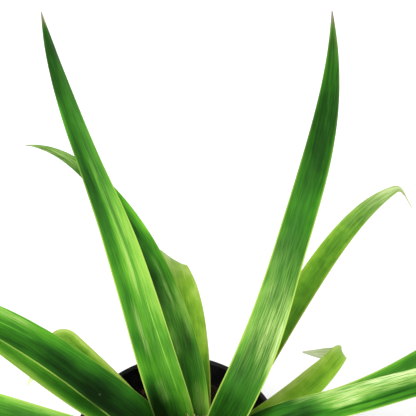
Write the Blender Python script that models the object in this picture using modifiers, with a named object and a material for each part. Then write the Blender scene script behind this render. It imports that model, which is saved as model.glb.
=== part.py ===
# Ornamental pineapple plant in a round nursery pot.
# Metres, +Z up, origin at the middle of the pot's underside.
# A rosette of channelled strap leaves stands on a stepped stem round a small
# young fruit. The pot's far side is +Y.

import bpy
import bmesh
from math import atan2, cos, pi, radians, sin
from mathutils import Matrix, Vector, noise

MM = 0.001
GAP = 0.0003

# Pot
POT_HEIGHT = 0.120
POT_RIM_RADIUS = 0.075
POT_BASE_RADIUS = 0.0542
POT_WALL = 0.0018
POT_FLOOR = 0.0025
LIP_DEPTH = 0.008
LIP_STAND = 0.0012
RIM_ROUND = 0.0008
FOOT_ROUND = 0.0024
DRAIN_HOLES = 8
DRAIN_HOLE_RADIUS = 0.0045
DRAIN_CIRCLE_RADIUS = 0.040
TURNED_STEPS = 40

# Soil
SOIL_TOP = 0.097
SOIL_ROUGHNESS = 0.0022
SOIL_RING_PITCH = 0.0085
SOIL_LUMPS = ((90.0, 1.0), (260.0, 0.6))
SOIL_WIDEST_FROM = 0.006

# Rosette: its axis stands a little off the middle of the pot
ROSETTE_X = 0.012
ROSETTE_Y = -0.010
RING_COUNT = 7
RING_INNER_RADIUS = 0.0145
RING_PITCH = 0.0022
LEDGE_TOP = 0.112
LEDGE_DROP = 0.002
LEDGE_LIP = 0.0009
STEM_BOTTOM = 0.070
STALK_RADIUS = 0.0045
COLLAR_RADIUS = 0.009
COLLAR_RISE = 0.002
COLLAR_SLOPE = 0.004
STALK_TOP = 0.128
BRACT_SHOULDER = 0.1222
BRACT_SHELF = 0.0018
BRACT_SHELF_SLOPE = 0.005
STEM_STEPS = 20

# Fruit and its crown
FRUIT_HEIGHT = 0.028
FRUIT_RADIUS = 0.0135
FRUIT_FOOT_RADIUS = 0.005
FRUIT_TOP_RADIUS = 0.004
FRUIT_BELLY = 1.15
FRUIT_FULLNESS = 0.55
FRUIT_STEPS = 48
FRUIT_ROWS = 18
EYE_RELIEF = 0.0012
EYE_SPIRALS = (8, 5)
EYE_TURNS = (4.0, 5.5)
EYE_PLUMPNESS = 0.7
EYE_FADE = 0.12
CROWN_CORE_RADIUS = 0.0036
CROWN_CORE_HEIGHT = 0.009
CROWN_CORE_STEPS = 12
BRACT_CUP_WALL = 0.0024
BRACT_CUP_TOP = 0.127

# Whorls of small blades, in millimetres and degrees
BLADE_SHARES = (0.0, 0.3, 0.65, 1.0)
BLADE_WIDTHS = (0.8, 1.0, 0.6, 0.06)
BLADE_THICKNESS = 0.0009
BLADE_CUP = 0.35
CROWN_WHORLS = (
    dict(count=8, first=0, root=2.0, height=1.8, lean=(56, 82), length=13, width=4.8),
    dict(count=7, first=24, root=1.6, height=3.2, lean=(42, 62), length=14.5, width=4.6),
    dict(count=5, first=8, root=1.1, height=4.6, lean=(26, 44), length=15, width=4.2),
    dict(count=3, first=40, root=0.6, height=5.4, lean=(12, 24), length=14.5, width=3.8),
    dict(count=1, first=65, root=0.0, height=5.8, lean=(2, 4), length=14, width=3.4),
)
BRACT_WHORLS = (
    dict(count=7, first=0, root=5.4, height=1.4, lean=(56, 70), length=9, width=5.6),
    dict(count=6, first=26, root=5.4, height=2.4, lean=(50, 62), length=7, width=5.0),
)

# Leaf section
LEAF_FOOT_THICKNESS = 0.0014
LEAF_TIP_THICKNESS = 0.0009
LEAF_MARGIN_THICKNESS = 0.0007
LEAF_CUP_DEGREES = 26
BUCKLED_CUP = 0.25
BUCKLE_REACH = 0.025
SHEATH_LENGTH = 0.060
LEAF_STATIONS = 15
LEAF_STATION_CROWDING = 1.1
LEAF_STRIPS = (-1.0, -0.5, 0.0, 0.5, 1.0)
BEND_STATIONS = (-0.5, -0.25, 0.0, 0.25, 0.5)
BEND_CLEARANCE = 0.8
SPINE_STEP = 0.001

# Share of the full half width at shares of the length, foot to tip
STRAP = ((0.0, 0.72), (0.06, 0.90), (0.15, 1.0), (0.35, 0.97), (0.55, 0.90), (0.70, 0.77),
         (0.80, 0.60), (0.88, 0.41), (0.94, 0.24), (1.0, 0.05))
DRAWN = ((0.0, 0.85), (0.06, 0.95), (0.15, 1.0), (0.35, 0.95), (0.55, 0.84), (0.70, 0.62),
         (0.80, 0.44), (0.88, 0.29), (0.94, 0.17), (1.0, 0.05))
SWORD = ((0.0, 0.72), (0.06, 0.90), (0.15, 1.0), (0.35, 0.98), (0.50, 0.89), (0.60, 0.75),
         (0.70, 0.61), (0.80, 0.52), (0.88, 0.40), (0.94, 0.26), (1.0, 0.04))
BROAD = ((0.0, 0.76), (0.06, 0.93), (0.15, 1.0), (0.30, 0.98), (0.38, 0.91), (0.50, 0.81),
         (0.60, 0.77), (0.70, 0.71), (0.80, 0.56), (0.88, 0.37), (0.94, 0.20), (1.0, 0.04))
THREADED = ((0.0, 0.80), (0.15, 1.0), (0.35, 0.98), (0.55, 0.93), (0.70, 0.82), (0.80, 0.66),
            (0.90, 0.38), (0.93, 0.26), (0.945, 0.14), (0.96, 0.06), (1.0, 0.05))
BLUNT = ((0.0, 0.80), (0.10, 0.92), (0.30, 1.0), (0.60, 1.0), (0.75, 0.80), (0.90, 0.45),
         (1.0, 0.08))
PINCHED = ((0.0, 0.80), (0.10, 0.92), (0.30, 1.0), (0.50, 1.0), (0.62, 0.92), (0.77, 0.60),
           (0.90, 0.40), (1.0, 0.08))

# One row a leaf. ring counts outwards from the stalk. lean is the angle from
# upright, in degrees, at each quarter of the length, after 0 at the foot.
# heading is the compass angle, +X to +Y, at the foot, thirds and tip. roll
# turns the blade about its spine at the middle and the tip. A bend is where an
# old leaf has buckled: its distance from the foot, the lean and heading beyond
# it, and the length that it takes.
LEAVES = (
    dict(name="leaf_01", ring=1, length=334, half_width=13.9, lean=(38, 44, 49, 55),
         heading=(127, 112, 119, 106), roll=(-30, -40), taper=SWORD),
    dict(name="leaf_02", ring=1, length=335, half_width=13.9, lean=(45, 40, 45, 55),
         heading=(33, 63.5, 68.8, 94.5), taper=BROAD),
    dict(name="leaf_03", ring=2, length=298, half_width=11.5, lean=(46, 69, 89, 123),
         heading=(91, 111, 126, 149), taper=DRAWN),
    dict(name="leaf_04", ring=2, length=285, half_width=13.4, lean=(57, 65, 78, 92),
         heading=(161, 152, 162, 163)),
    dict(name="leaf_05", ring=3, length=268, half_width=9.5, lean=(55, 62, 76, 107),
         heading=(46, 53, 52, 40), taper=THREADED, bend=(250, 140, -40, 12)),
    dict(name="leaf_06", ring=4, length=280, half_width=12.0, lean=(58, 65, 74, 85),
         heading=(15, 3, 7, 3)),
    dict(name="leaf_07", ring=4, length=260, half_width=12.0, lean=(66, 72, 82, 92),
         heading=(186, 171, 169, 173)),
    dict(name="leaf_08", ring=5, length=260, half_width=11.0, lean=(68, 73, 81, 91),
         heading=(165, 151, 148, 156)),
    dict(name="leaf_09", ring=5, length=265, half_width=12.0, lean=(68, 70, 76, 85),
         heading=(19, 9, 28, 19)),
    dict(name="leaf_10", ring=5, length=200, half_width=12.8, lean=(47, 59, 71, 83),
         heading=(92, 93, 99, 108), taper=BLUNT, roll=(26, 66), bend=(141, 165, 100, 12)),
    dict(name="leaf_11", ring=6, length=150, half_width=10.5, lean=(58, 64, 68, 73),
         heading=(32, 25, 34, 52), taper=PINCHED, bend=(119, 252, -14, 8)),
    dict(name="leaf_12", ring=6, length=174, half_width=9.5, lean=(63, 68, 74, 79),
         heading=(140, 139, 140, 134), taper=BLUNT, bend=(117, 148, 205, 12)),
    dict(name="leaf_13", ring=0, length=125, half_width=8.0, lean=(14, 24, 34, 44),
         heading=(235, 232, 230, 228)),
    dict(name="leaf_14", ring=0, length=110, half_width=8.0, lean=(14, 24, 34, 46),
         heading=(305, 306, 308, 310)),
    dict(name="leaf_15", ring=1, length=320, half_width=13.0, lean=(36, 44, 52, 62),
         heading=(265, 262, 258, 252)),
    dict(name="leaf_16", ring=2, length=300, half_width=12.0, lean=(48, 58, 70, 88),
         heading=(230, 227, 222, 214)),
    dict(name="leaf_17", ring=2, length=310, half_width=12.5, lean=(46, 56, 66, 80),
         heading=(304, 303, 306, 312)),
    dict(name="leaf_18", ring=3, length=285, half_width=11.5, lean=(58, 66, 78, 96),
         heading=(202, 203, 205, 206)),
    dict(name="leaf_19", ring=3, length=290, half_width=12.0, lean=(56, 66, 78, 98),
         heading=(276, 276, 272, 266)),
    dict(name="leaf_20", ring=4, length=270, half_width=12.0, lean=(64, 72, 84, 102),
         heading=(246, 245, 243, 240)),
    dict(name="leaf_21", ring=4, length=275, half_width=11.5, lean=(62, 70, 82, 100),
         heading=(310, 323, 330, 336)),
    dict(name="leaf_22", ring=5, length=255, half_width=11.0, lean=(72, 78, 86, 100),
         heading=(218, 216, 218, 224)),
    dict(name="leaf_23", ring=5, length=250, half_width=11.0, lean=(70, 76, 88, 108),
         heading=(290, 292, 296, 300)),
    dict(name="leaf_24", ring=6, length=200, half_width=10.5, lean=(72, 78, 88, 104),
         heading=(256, 256, 254, 250)),
    dict(name="leaf_25", ring=6, length=190, half_width=10.0, lean=(70, 76, 86, 102),
         heading=(342, 344, 346, 350)),
)
OLD_LEAVES = ("leaf_10", "leaf_11", "leaf_12")


# Scene helpers

def clear_scene():
    for item in list(bpy.data.objects):
        bpy.data.objects.remove(item, do_unlink=True)
    for item in list(bpy.data.collections):
        bpy.data.collections.remove(item)
    for item in list(bpy.data.meshes):
        bpy.data.meshes.remove(item)
    for item in list(bpy.data.materials):
        bpy.data.materials.remove(item)


def new_collection(name):
    group = bpy.data.collections.new(name)
    bpy.context.scene.collection.children.link(group)
    return group


def new_material(name, colour, roughness, metallic=0.0):
    finish = bpy.data.materials.new(name)
    finish.use_nodes = True
    shader = finish.node_tree.nodes["Principled BSDF"]
    shader.inputs["Base Color"].default_value = (*colour, 1.0)
    shader.inputs["Roughness"].default_value = roughness
    shader.inputs["Metallic"].default_value = metallic
    return finish


def new_object(name, mesh, finish, group):
    item = bpy.data.objects.new(name, mesh)
    if finish is not None:
        mesh.materials.append(finish)
    group.objects.link(item)
    return item


def shade_round(mesh, degrees):
    mesh.shade_smooth()
    mesh.set_sharp_from_angle(angle=radians(degrees))


def turned(name, profile, steps, finish, group, place=(0.0, 0.0), closed=False):
    """A profile of (radius, height) points, top to bottom outside, turned round Z."""
    mesh = bpy.data.meshes.new(name)
    points = [(radius, 0.0, height) for radius, height in profile]
    edges = [(i, i + 1) for i in range(len(points) - 1)]
    if closed:
        edges.append((len(points) - 1, 0))
    mesh.from_pydata(points, edges, [])
    item = new_object(name, mesh, finish, group)
    item.location = (place[0], place[1], 0.0)
    screw = item.modifiers.new("turn", "SCREW")
    screw.steps = steps
    screw.render_steps = steps
    screw.use_merge_vertices = True
    screw.merge_threshold = 0.00001
    screw.use_smooth_shade = True
    return item


def applied(item):
    """Turn an object's modifiers and place into plain mesh."""
    bpy.context.view_layer.update()
    graph = bpy.context.evaluated_depsgraph_get()
    mesh = bpy.data.meshes.new_from_object(item.evaluated_get(graph))
    mesh.transform(item.matrix_world)
    item.modifiers.clear()
    item.data = mesh
    item.location = (0.0, 0.0, 0.0)
    return item


# Pot

def wall_radius(height):
    """Outer radius of the pot's wall below its lip."""
    top_radius = POT_RIM_RADIUS - LIP_STAND - POT_WALL / 2
    return POT_BASE_RADIUS + (top_radius - POT_BASE_RADIUS) * height / POT_HEIGHT


def inner_radius(height):
    """Inner radius of the pot's wall."""
    low = POT_BASE_RADIUS - POT_WALL
    high = POT_RIM_RADIUS - LIP_STAND - 1.3 * POT_WALL
    return low + (high - low) * height / POT_HEIGHT


def make_pot(finish, group, cutters):
    lip_low = POT_HEIGHT - LIP_DEPTH
    mouth = inner_radius(POT_HEIGHT)
    profile = (
        (0.0, POT_FLOOR),
        (inner_radius(POT_FLOOR) - RIM_ROUND, POT_FLOOR),
        (inner_radius(POT_FLOOR), POT_FLOOR + RIM_ROUND),
        (mouth - 0.25 * RIM_ROUND, POT_HEIGHT - 2 * RIM_ROUND),
        (mouth + 0.25 * RIM_ROUND, POT_HEIGHT - 0.6 * RIM_ROUND),
        (mouth + RIM_ROUND, POT_HEIGHT),
        (POT_RIM_RADIUS - RIM_ROUND, POT_HEIGHT),
        (POT_RIM_RADIUS, POT_HEIGHT - RIM_ROUND),
        (POT_RIM_RADIUS, lip_low + 0.7 * RIM_ROUND),
        (POT_RIM_RADIUS - 0.7 * RIM_ROUND, lip_low),
        (wall_radius(lip_low), lip_low - 0.5 * RIM_ROUND),
        (wall_radius(FOOT_ROUND), FOOT_ROUND),
        (wall_radius(0) - 0.35 * FOOT_ROUND, 0.25 * FOOT_ROUND),
        (wall_radius(0) - FOOT_ROUND, 0.0),
        (0.0, 0.0),
    )
    pot = turned("pot", profile, TURNED_STEPS, finish, group)
    for index in range(DRAIN_HOLES):
        angle = 2 * pi * index / DRAIN_HOLES
        bpy.ops.mesh.primitive_cylinder_add(
            vertices=12, radius=DRAIN_HOLE_RADIUS, depth=4 * POT_FLOOR,
            location=(DRAIN_CIRCLE_RADIUS * cos(angle), DRAIN_CIRCLE_RADIUS * sin(angle), 0.0))
        hole = bpy.context.object
        hole.name = "drain_cutter_%d" % (index + 1)
        move_to(hole, cutters)
    cut = pot.modifiers.new("drain_holes", "BOOLEAN")
    cut.operation = "DIFFERENCE"
    cut.operand_type = "COLLECTION"
    cut.collection = cutters
    return pot


def move_to(item, group):
    for old in list(item.users_collection):
        old.objects.unlink(item)
    group.objects.link(item)
    item.hide_render = True
    item.display_type = "WIRE"


# Soil

def make_soil(finish, group, cutters):
    edge = inner_radius(SOIL_TOP) - 2 * GAP
    rings = int(edge / SOIL_RING_PITCH)
    profile = [(edge * i / rings, SOIL_TOP) for i in range(rings)]
    profile += [
        (edge, SOIL_TOP - 1.0 * MM),
        (inner_radius(SOIL_WIDEST_FROM) - 2 * GAP, SOIL_WIDEST_FROM),
        (inner_radius(0) - 2.0 * MM, POT_FLOOR + GAP),
        (0.0, POT_FLOOR + GAP),
    ]
    soil = applied(turned("soil", profile, TURNED_STEPS, finish, group))
    for vertex in soil.data.vertices:
        place = vertex.co
        if place.z > SOIL_TOP - 0.5 * MM:
            fade = 1.0 - (place.xy.length / edge) ** 6
            lump = sum(share * noise.noise(place * scale) for scale, share in SOIL_LUMPS)
            place.z += SOIL_ROUGHNESS * lump * fade
    bpy.ops.mesh.primitive_cylinder_add(
        vertices=STEM_STEPS, radius=ledge_radius(RING_COUNT - 1) + GAP, depth=SOIL_TOP,
        location=(ROSETTE_X, ROSETTE_Y, STEM_BOTTOM - GAP + SOIL_TOP / 2))
    hole = bpy.context.object
    hole.name = "stem_hole_cutter"
    move_to(hole, cutters)
    cut = soil.modifiers.new("stem_hole", "BOOLEAN")
    cut.operation = "DIFFERENCE"
    cut.object = hole
    return soil


# Stem with a ledge for each ring of leaves

def ring_radius(ring):
    return RING_INNER_RADIUS + RING_PITCH * ring


def ledge_height(ring):
    return LEDGE_TOP - LEDGE_DROP * ring


def ledge_radius(ring):
    return ring_radius(ring) + LEDGE_LIP


def make_stem(finish, group):
    profile = [
        (0.0, STALK_TOP),
        (STALK_RADIUS, STALK_TOP),
        (STALK_RADIUS, BRACT_SHOULDER),
        (STALK_RADIUS + BRACT_SHELF, BRACT_SHOULDER),
        (STALK_RADIUS, BRACT_SHOULDER - BRACT_SHELF_SLOPE),
        (STALK_RADIUS, LEDGE_TOP + COLLAR_RISE + COLLAR_SLOPE),
        (COLLAR_RADIUS, LEDGE_TOP + COLLAR_RISE),
        (COLLAR_RADIUS, LEDGE_TOP),
    ]
    for ring in range(RING_COUNT):
        lower = ledge_height(ring + 1) if ring + 1 < RING_COUNT else STEM_BOTTOM
        profile.append((ledge_radius(ring), ledge_height(ring)))
        profile.append((ledge_radius(ring), lower))
    profile.append((0.0, STEM_BOTTOM))
    return turned("stem", profile, STEM_STEPS, finish, group, (ROSETTE_X, ROSETTE_Y))


# Leaves

def smooth_step(value):
    value = min(max(value, 0.0), 1.0)
    return value * value * (3 - 2 * value)


def along(values, share):
    """Smooth curve through evenly spaced values."""
    last = len(values) - 1
    place = min(max(share, 0.0), 1.0) * last
    i = min(int(place), last - 1)
    f = place - i
    b, c = values[i], values[i + 1]
    a = values[i - 1] if i > 0 else 2 * b - c
    d = values[i + 2] if i + 2 <= last else 2 * c - b
    return 0.5 * (2 * b + (c - a) * f + (2 * a - 5 * b + 4 * c - d) * f * f
                  + (3 * b - a - 3 * c + d) * f ** 3)


def between(table, share):
    """Straight lines through a table of (share, value) points."""
    for (x0, y0), (x1, y1) in zip(table, table[1:]):
        if share <= x1:
            return y0 + (y1 - y0) * (share - x0) / (x1 - x0)
    return table[-1][1]


def leaf_angles(leaf, distance):
    """Lean and heading of a leaf's spine, in radians, at a distance from its foot."""
    bend = leaf.get("bend")
    end = (bend[0] if bend else leaf["length"]) * MM
    lean = along((0, *leaf["lean"]), distance / end)
    heading = along(leaf["heading"], distance / end)
    if bend:
        past = smooth_step((distance / MM - bend[0] + bend[3] / 2) / bend[3])
        lean += (bend[1] - lean) * past
        heading += (bend[2] - heading) * past
    return radians(lean), radians(heading)


def spine_direction(lean, heading):
    return Vector((sin(lean) * cos(heading), sin(lean) * sin(heading), cos(lean)))


def spine_points(leaf, distances):
    """Places of the given distances along a leaf's spine."""
    heading = radians(leaf["heading"][0])
    radius = ring_radius(leaf["ring"])
    place = Vector((ROSETTE_X + radius * cos(heading), ROSETTE_Y + radius * sin(heading),
                    ledge_height(leaf["ring"]) + GAP))
    points = []
    here = 0.0
    for distance in distances:
        steps = max(1, round((distance - here) / SPINE_STEP))
        step = (distance - here) / steps
        for index in range(steps):
            place = place + step * spine_direction(*leaf_angles(leaf, here + (index + 0.5) * step))
        here = distance
        points.append(place)
    return points


def station_distances(leaf):
    """Distances of a leaf's sections: closer at the foot, and closer again at a bend."""
    length = leaf["length"] * MM
    shares = [i / (LEAF_STATIONS - 1) for i in range(LEAF_STATIONS)]
    places = [length * share ** LEAF_STATION_CROWDING for share in shares]
    bend = leaf.get("bend")
    if bend:
        centre, reach = bend[0] * MM, bend[3] * MM
        places = [place for place in places if abs(place - centre) > BEND_CLEARANCE * reach]
        places += [centre + reach * share for share in BEND_STATIONS]
    return sorted(places)


def leaf_section(leaf, distance, place):
    """Upper and lower points of the channelled section, left margin to right."""
    length = leaf["length"] * MM
    share = distance / length
    lean, heading = leaf_angles(leaf, distance)
    up = Vector((-cos(lean) * cos(heading), -cos(lean) * sin(heading), sin(lean)))
    side = Vector((-sin(heading), cos(heading), 0.0))
    roll = radians(along((0, *leaf.get("roll", (0, 0))), share))
    side, up = side * cos(roll) + up * sin(roll), up * cos(roll) - side * sin(roll)
    taper = leaf.get("taper", STRAP)
    full = leaf["half_width"] * MM
    half = full * between(taper, share)
    opened = smooth_step(distance / SHEATH_LENGTH)
    cup = radians(LEAF_CUP_DEGREES)
    bend = leaf.get("bend")
    if bend:
        away = smooth_step(abs(distance - bend[0] * MM) / BUCKLE_REACH)
        cup *= BUCKLED_CUP + (1 - BUCKLED_CUP) * away
    clasp = full * between(taper, 0.0) / ring_radius(leaf["ring"])
    angle = clasp * (1 - opened) + cup * opened
    radius = half / angle
    middle = LEAF_FOOT_THICKNESS + (LEAF_TIP_THICKNESS - LEAF_FOOT_THICKNESS) * share
    upper, lower = [], []
    for strip in LEAF_STRIPS:
        turn = strip * angle
        centre = place + side * radius * sin(turn) + up * radius * (1 - cos(turn))
        normal = up * cos(turn) - side * sin(turn)
        thick = LEAF_MARGIN_THICKNESS + (middle - LEAF_MARGIN_THICKNESS) * (1 - strip ** 2)
        upper.append(centre + normal * thick / 2)
        lower.append(centre - normal * thick / 2)
    return upper, lower


def make_leaf(leaf, finish, group):
    """Loft of channelled sections, split into triangles alike on both faces."""
    distances = station_distances(leaf)
    points = spine_points(leaf, distances)
    form = bmesh.new()
    rows = []
    for distance, place in zip(distances, points):
        upper, lower = leaf_section(leaf, distance, place)
        rows.append(([form.verts.new(p) for p in upper], [form.verts.new(p) for p in lower]))
    last = len(LEAF_STRIPS) - 1
    for (top_a, under_a), (top_b, under_b) in zip(rows, rows[1:]):
        for i in range(last):
            form.faces.new((top_a[i], top_a[i + 1], top_b[i + 1]))
            form.faces.new((top_a[i], top_b[i + 1], top_b[i]))
            form.faces.new((under_a[i], under_b[i + 1], under_a[i + 1]))
            form.faces.new((under_a[i], under_b[i], under_b[i + 1]))
        form.faces.new((top_a[0], top_b[0], under_b[0]))
        form.faces.new((top_a[0], under_b[0], under_a[0]))
        form.faces.new((top_a[last], under_b[last], top_b[last]))
        form.faces.new((top_a[last], under_a[last], under_b[last]))
    for i in range(last):
        top, under = rows[0]
        form.faces.new((top[i], under[i], under[i + 1], top[i + 1]))
        top, under = rows[-1]
        form.faces.new((top[i], top[i + 1], under[i + 1], under[i]))
    bmesh.ops.recalc_face_normals(form, faces=form.faces)
    mesh = bpy.data.meshes.new(leaf["name"])
    form.to_mesh(mesh)
    form.free()
    shade_round(mesh, 50)
    return new_object(leaf["name"], mesh, finish, group)


# Fruit

def make_fruit(finish, group):
    """Egg-shaped body whose eyes are raised on two crossing sets of spirals."""
    base = STALK_TOP + GAP
    profile = [(0.0, base + FRUIT_HEIGHT)]
    for row in range(FRUIT_ROWS + 1):
        share = row / FRUIT_ROWS
        swell = max(0.0, sin(pi * share ** FRUIT_BELLY)) ** FRUIT_FULLNESS
        ends = FRUIT_TOP_RADIUS + (FRUIT_FOOT_RADIUS - FRUIT_TOP_RADIUS) * share
        radius = ends + (FRUIT_RADIUS - ends) * swell
        profile.append((radius, base + FRUIT_HEIGHT * (1 - share)))
    profile.append((0.0, base))
    fruit = applied(turned("fruit", profile, FRUIT_STEPS, finish, group))
    for vertex in fruit.data.vertices:
        place = vertex.co
        rise = (place.z - base) / FRUIT_HEIGHT
        if place.xy.length < FRUIT_TOP_RADIUS / 2:
            continue
        angle = atan2(place.y, place.x)
        first = EYE_SPIRALS[0] * angle + 2 * pi * EYE_TURNS[0] * rise
        second = -EYE_SPIRALS[1] * angle + 2 * pi * EYE_TURNS[1] * rise
        eye = max(0.0, (cos(first) + cos(second)) / 2) ** EYE_PLUMPNESS
        fade = smooth_step(rise / EYE_FADE) * smooth_step((1 - rise) / EYE_FADE)
        outward = place.xy.normalized() * EYE_RELIEF * eye * fade
        place.x += outward.x
        place.y += outward.y
    fruit.data.transform(Matrix.Translation((ROSETTE_X, ROSETTE_Y, 0.0)))
    shade_round(fruit.data, 60)
    return fruit


# Small blades in whorls, fused to a core: the fruit's crown and its bracts

def make_blade(name, foot, heading, lean, length, width, group):
    """Pointed, slightly channelled blade whose lean grows from foot to tip."""
    form = bmesh.new()
    rows = []
    place = foot.copy()
    for index, share in enumerate(BLADE_SHARES):
        angle = radians(lean[0] + (lean[1] - lean[0]) * share)
        if index:
            step = length * (share - BLADE_SHARES[index - 1])
            place = place + step * spine_direction(angle, heading)
        up = Vector((-cos(angle) * cos(heading), -cos(angle) * sin(heading), sin(angle)))
        side = Vector((-sin(heading), cos(heading), 0.0))
        half = width / 2 * BLADE_WIDTHS[index]
        rows.append([form.verts.new(p) for p in (
            place + side * half + up * half * BLADE_CUP,
            place + up * BLADE_THICKNESS / 2,
            place - side * half + up * half * BLADE_CUP,
            place - up * BLADE_THICKNESS / 2)])
    for near, far in zip(rows, rows[1:]):
        for i in range(4):
            j = (i + 1) % 4
            form.faces.new((near[i], near[j], far[j]))
            form.faces.new((near[i], far[j], far[i]))
    form.faces.new(rows[0])
    form.faces.new(rows[-1])
    bmesh.ops.recalc_face_normals(form, faces=form.faces)
    mesh = bpy.data.meshes.new(name)
    form.to_mesh(mesh)
    form.free()
    return new_object(name, mesh, None, group)


def fuse_whorls(core, whorls, base):
    """Fuse whorls of blades to a core. A whorl is a dict of sizes in millimetres."""
    blades = new_collection(core.name + "_blades")
    for number, whorl in enumerate(whorls):
        for index in range(whorl["count"]):
            heading = 2 * pi * index / whorl["count"] + radians(whorl["first"])
            root = whorl["root"] * MM
            foot = Vector((ROSETTE_X + root * cos(heading), ROSETTE_Y + root * sin(heading),
                           base + whorl["height"] * MM))
            make_blade("%s_blade_%d_%d" % (core.name, number, index), foot, heading,
                       whorl["lean"], whorl["length"] * MM, whorl["width"] * MM, blades)
    join = core.modifiers.new("fuse", "BOOLEAN")
    join.operation = "UNION"
    join.operand_type = "COLLECTION"
    join.collection = blades
    join.solver = "MANIFOLD"
    applied(core)
    for item in list(blades.objects):
        bpy.data.objects.remove(item, do_unlink=True)
    bpy.data.collections.remove(blades)
    shade_round(core.data, 40)
    return core


def make_crown(finish, group):
    base = STALK_TOP + FRUIT_HEIGHT + 2 * GAP
    profile = (
        (0.0, base + CROWN_CORE_HEIGHT),
        (0.45 * CROWN_CORE_RADIUS, base + 0.9 * CROWN_CORE_HEIGHT),
        (0.95 * CROWN_CORE_RADIUS, base + 0.33 * CROWN_CORE_HEIGHT),
        (CROWN_CORE_RADIUS, base),
        (0.0, base),
    )
    core = applied(turned("crown", profile, CROWN_CORE_STEPS, finish, group,
                          (ROSETTE_X, ROSETTE_Y)))
    return fuse_whorls(core, CROWN_WHORLS, base)


def make_bracts(finish, group):
    low = BRACT_SHOULDER + GAP
    profile = (
        (STALK_RADIUS + GAP, BRACT_CUP_TOP),
        (STALK_RADIUS + 0.9 * BRACT_CUP_WALL, BRACT_CUP_TOP - GAP),
        (STALK_RADIUS + BRACT_CUP_WALL, low),
        (STALK_RADIUS + GAP, low),
    )
    core = applied(turned("bracts", profile, STEM_STEPS, finish, group,
                          (ROSETTE_X, ROSETTE_Y), closed=True))
    return fuse_whorls(core, BRACT_WHORLS, low)


clear_scene()
parts = new_collection("ornamental_pineapple_plant")
drain_cutters = new_collection("drain_cutters")
hole_cutters = new_collection("hole_cutters")
pot_black = new_material("pot_black", (0.010, 0.010, 0.011), 0.35)
soil_dark = new_material("soil_dark", (0.025, 0.017, 0.012), 0.95)
stem_green = new_material("stem_green", (0.28, 0.34, 0.12), 0.55)
leaf_green = new_material("leaf_green", (0.045, 0.19, 0.018), 0.38)
leaf_old = new_material("leaf_old", (0.30, 0.42, 0.10), 0.45)
fruit_red = new_material("fruit_red", (0.42, 0.14, 0.09), 0.45)
crown_green = new_material("crown_green", (0.12, 0.24, 0.06), 0.45)
bract_pink = new_material("bract_pink", (0.55, 0.22, 0.17), 0.45)
make_pot(pot_black, parts, drain_cutters)
make_soil(soil_dark, parts, hole_cutters)
make_stem(stem_green, parts)
for row in LEAVES:
    make_leaf(row, leaf_old if row["name"] in OLD_LEAVES else leaf_green, parts)
make_fruit(fruit_red, parts)
make_crown(crown_green, parts)
make_bracts(bract_pink, parts)
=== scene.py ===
"""Ornamental pineapple plant in a round nursery pot, dressed for a studio picture.

Metres, +Z up, origin under the middle of the pot, the far side at +Y. The sizes
that shape the pot, the rosette and the fruit repeat those of the solid model.
"""

from math import cos, exp, pi, radians, sin

import bmesh
import bpy
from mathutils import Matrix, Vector, noise


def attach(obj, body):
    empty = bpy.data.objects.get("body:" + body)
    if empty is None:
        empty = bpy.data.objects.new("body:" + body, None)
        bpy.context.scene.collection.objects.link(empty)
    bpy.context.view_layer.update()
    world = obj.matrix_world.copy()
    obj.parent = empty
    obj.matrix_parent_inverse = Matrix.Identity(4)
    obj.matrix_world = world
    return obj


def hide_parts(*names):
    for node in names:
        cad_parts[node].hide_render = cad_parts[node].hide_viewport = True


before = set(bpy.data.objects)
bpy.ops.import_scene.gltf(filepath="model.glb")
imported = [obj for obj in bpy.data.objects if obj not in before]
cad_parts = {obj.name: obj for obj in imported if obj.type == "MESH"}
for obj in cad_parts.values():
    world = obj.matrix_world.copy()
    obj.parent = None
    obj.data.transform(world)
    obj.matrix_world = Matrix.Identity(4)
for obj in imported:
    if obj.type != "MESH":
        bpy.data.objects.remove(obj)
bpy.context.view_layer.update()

MM = 0.001
GAP = 0.0003
GOLDEN_ANGLE = 2.39996

# Pot and soil
POT_HEIGHT = 0.120
POT_RIM_RADIUS = 0.075
POT_BASE_RADIUS = 0.0542
POT_WALL = 0.0018
POT_FLOOR = 0.0025
LIP_DEPTH = 0.008
LIP_STAND = 0.0012
DRAIN_HOLES = 8
DRAIN_HOLE_RADIUS = 0.0045
DRAIN_CIRCLE_RADIUS = 0.040
POT_STEPS = 144
SOIL_TOP = 0.097
SOIL_RINGS = 46
SOIL_STEPS = 132
SOIL_LUMP = 0.0020

# Rosette and stem
AXIS = (0.012, -0.010)
RING_COUNT = 7
RING_INNER_RADIUS = 0.0145
RING_PITCH = 0.0022
LEDGE_TOP = 0.112
LEDGE_DROP = 0.002
LEDGE_LIP = 0.0009
STEM_BOTTOM = 0.070
STALK_RADIUS = 0.0045
COLLAR_RADIUS = 0.009
STALK_TOP = 0.128
BRACT_SHOULDER = 0.1222
SCALE_PITCH = 0.0085
SCALE_SIZE = 0.0105

# Fruit and crown
FRUIT_HEIGHT = 0.028
FRUIT_RADIUS = 0.0135
FRUIT_FOOT_RADIUS = 0.005
FRUIT_TOP_RADIUS = 0.004
FRUIT_BELLY = 1.15
FRUIT_FULLNESS = 0.55
EYE_COUNT = 74
EYE_SIZE = 0.0063

# Leaf section
CUP_DEGREES = 26
BUCKLED_CUP = 0.25
BUCKLE_REACH = 0.025
SHEATH_LENGTH = 0.060
FOOT_THICKNESS = 0.0013
TIP_THICKNESS = 0.0006
MARGIN_THICKNESS = 0.00035
STATION_PITCH = 0.0028
SMALL_BLADE_THICKNESS = 0.022
SPINE_STEP = 0.001
LEAST_HALF_WIDTH = 0.0002
CREASE_DEPTH = 0.25
CREASE_LINE_HEIGHT = 0.00018
CREASE_LINE_WIDTH = 0.0006
RIPPLE_HEIGHT = 0.0007
RIPPLES_ALONG = 28.0
RIPPLES_ACROSS = 0.8
NO_VEIN = 99.0

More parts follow.
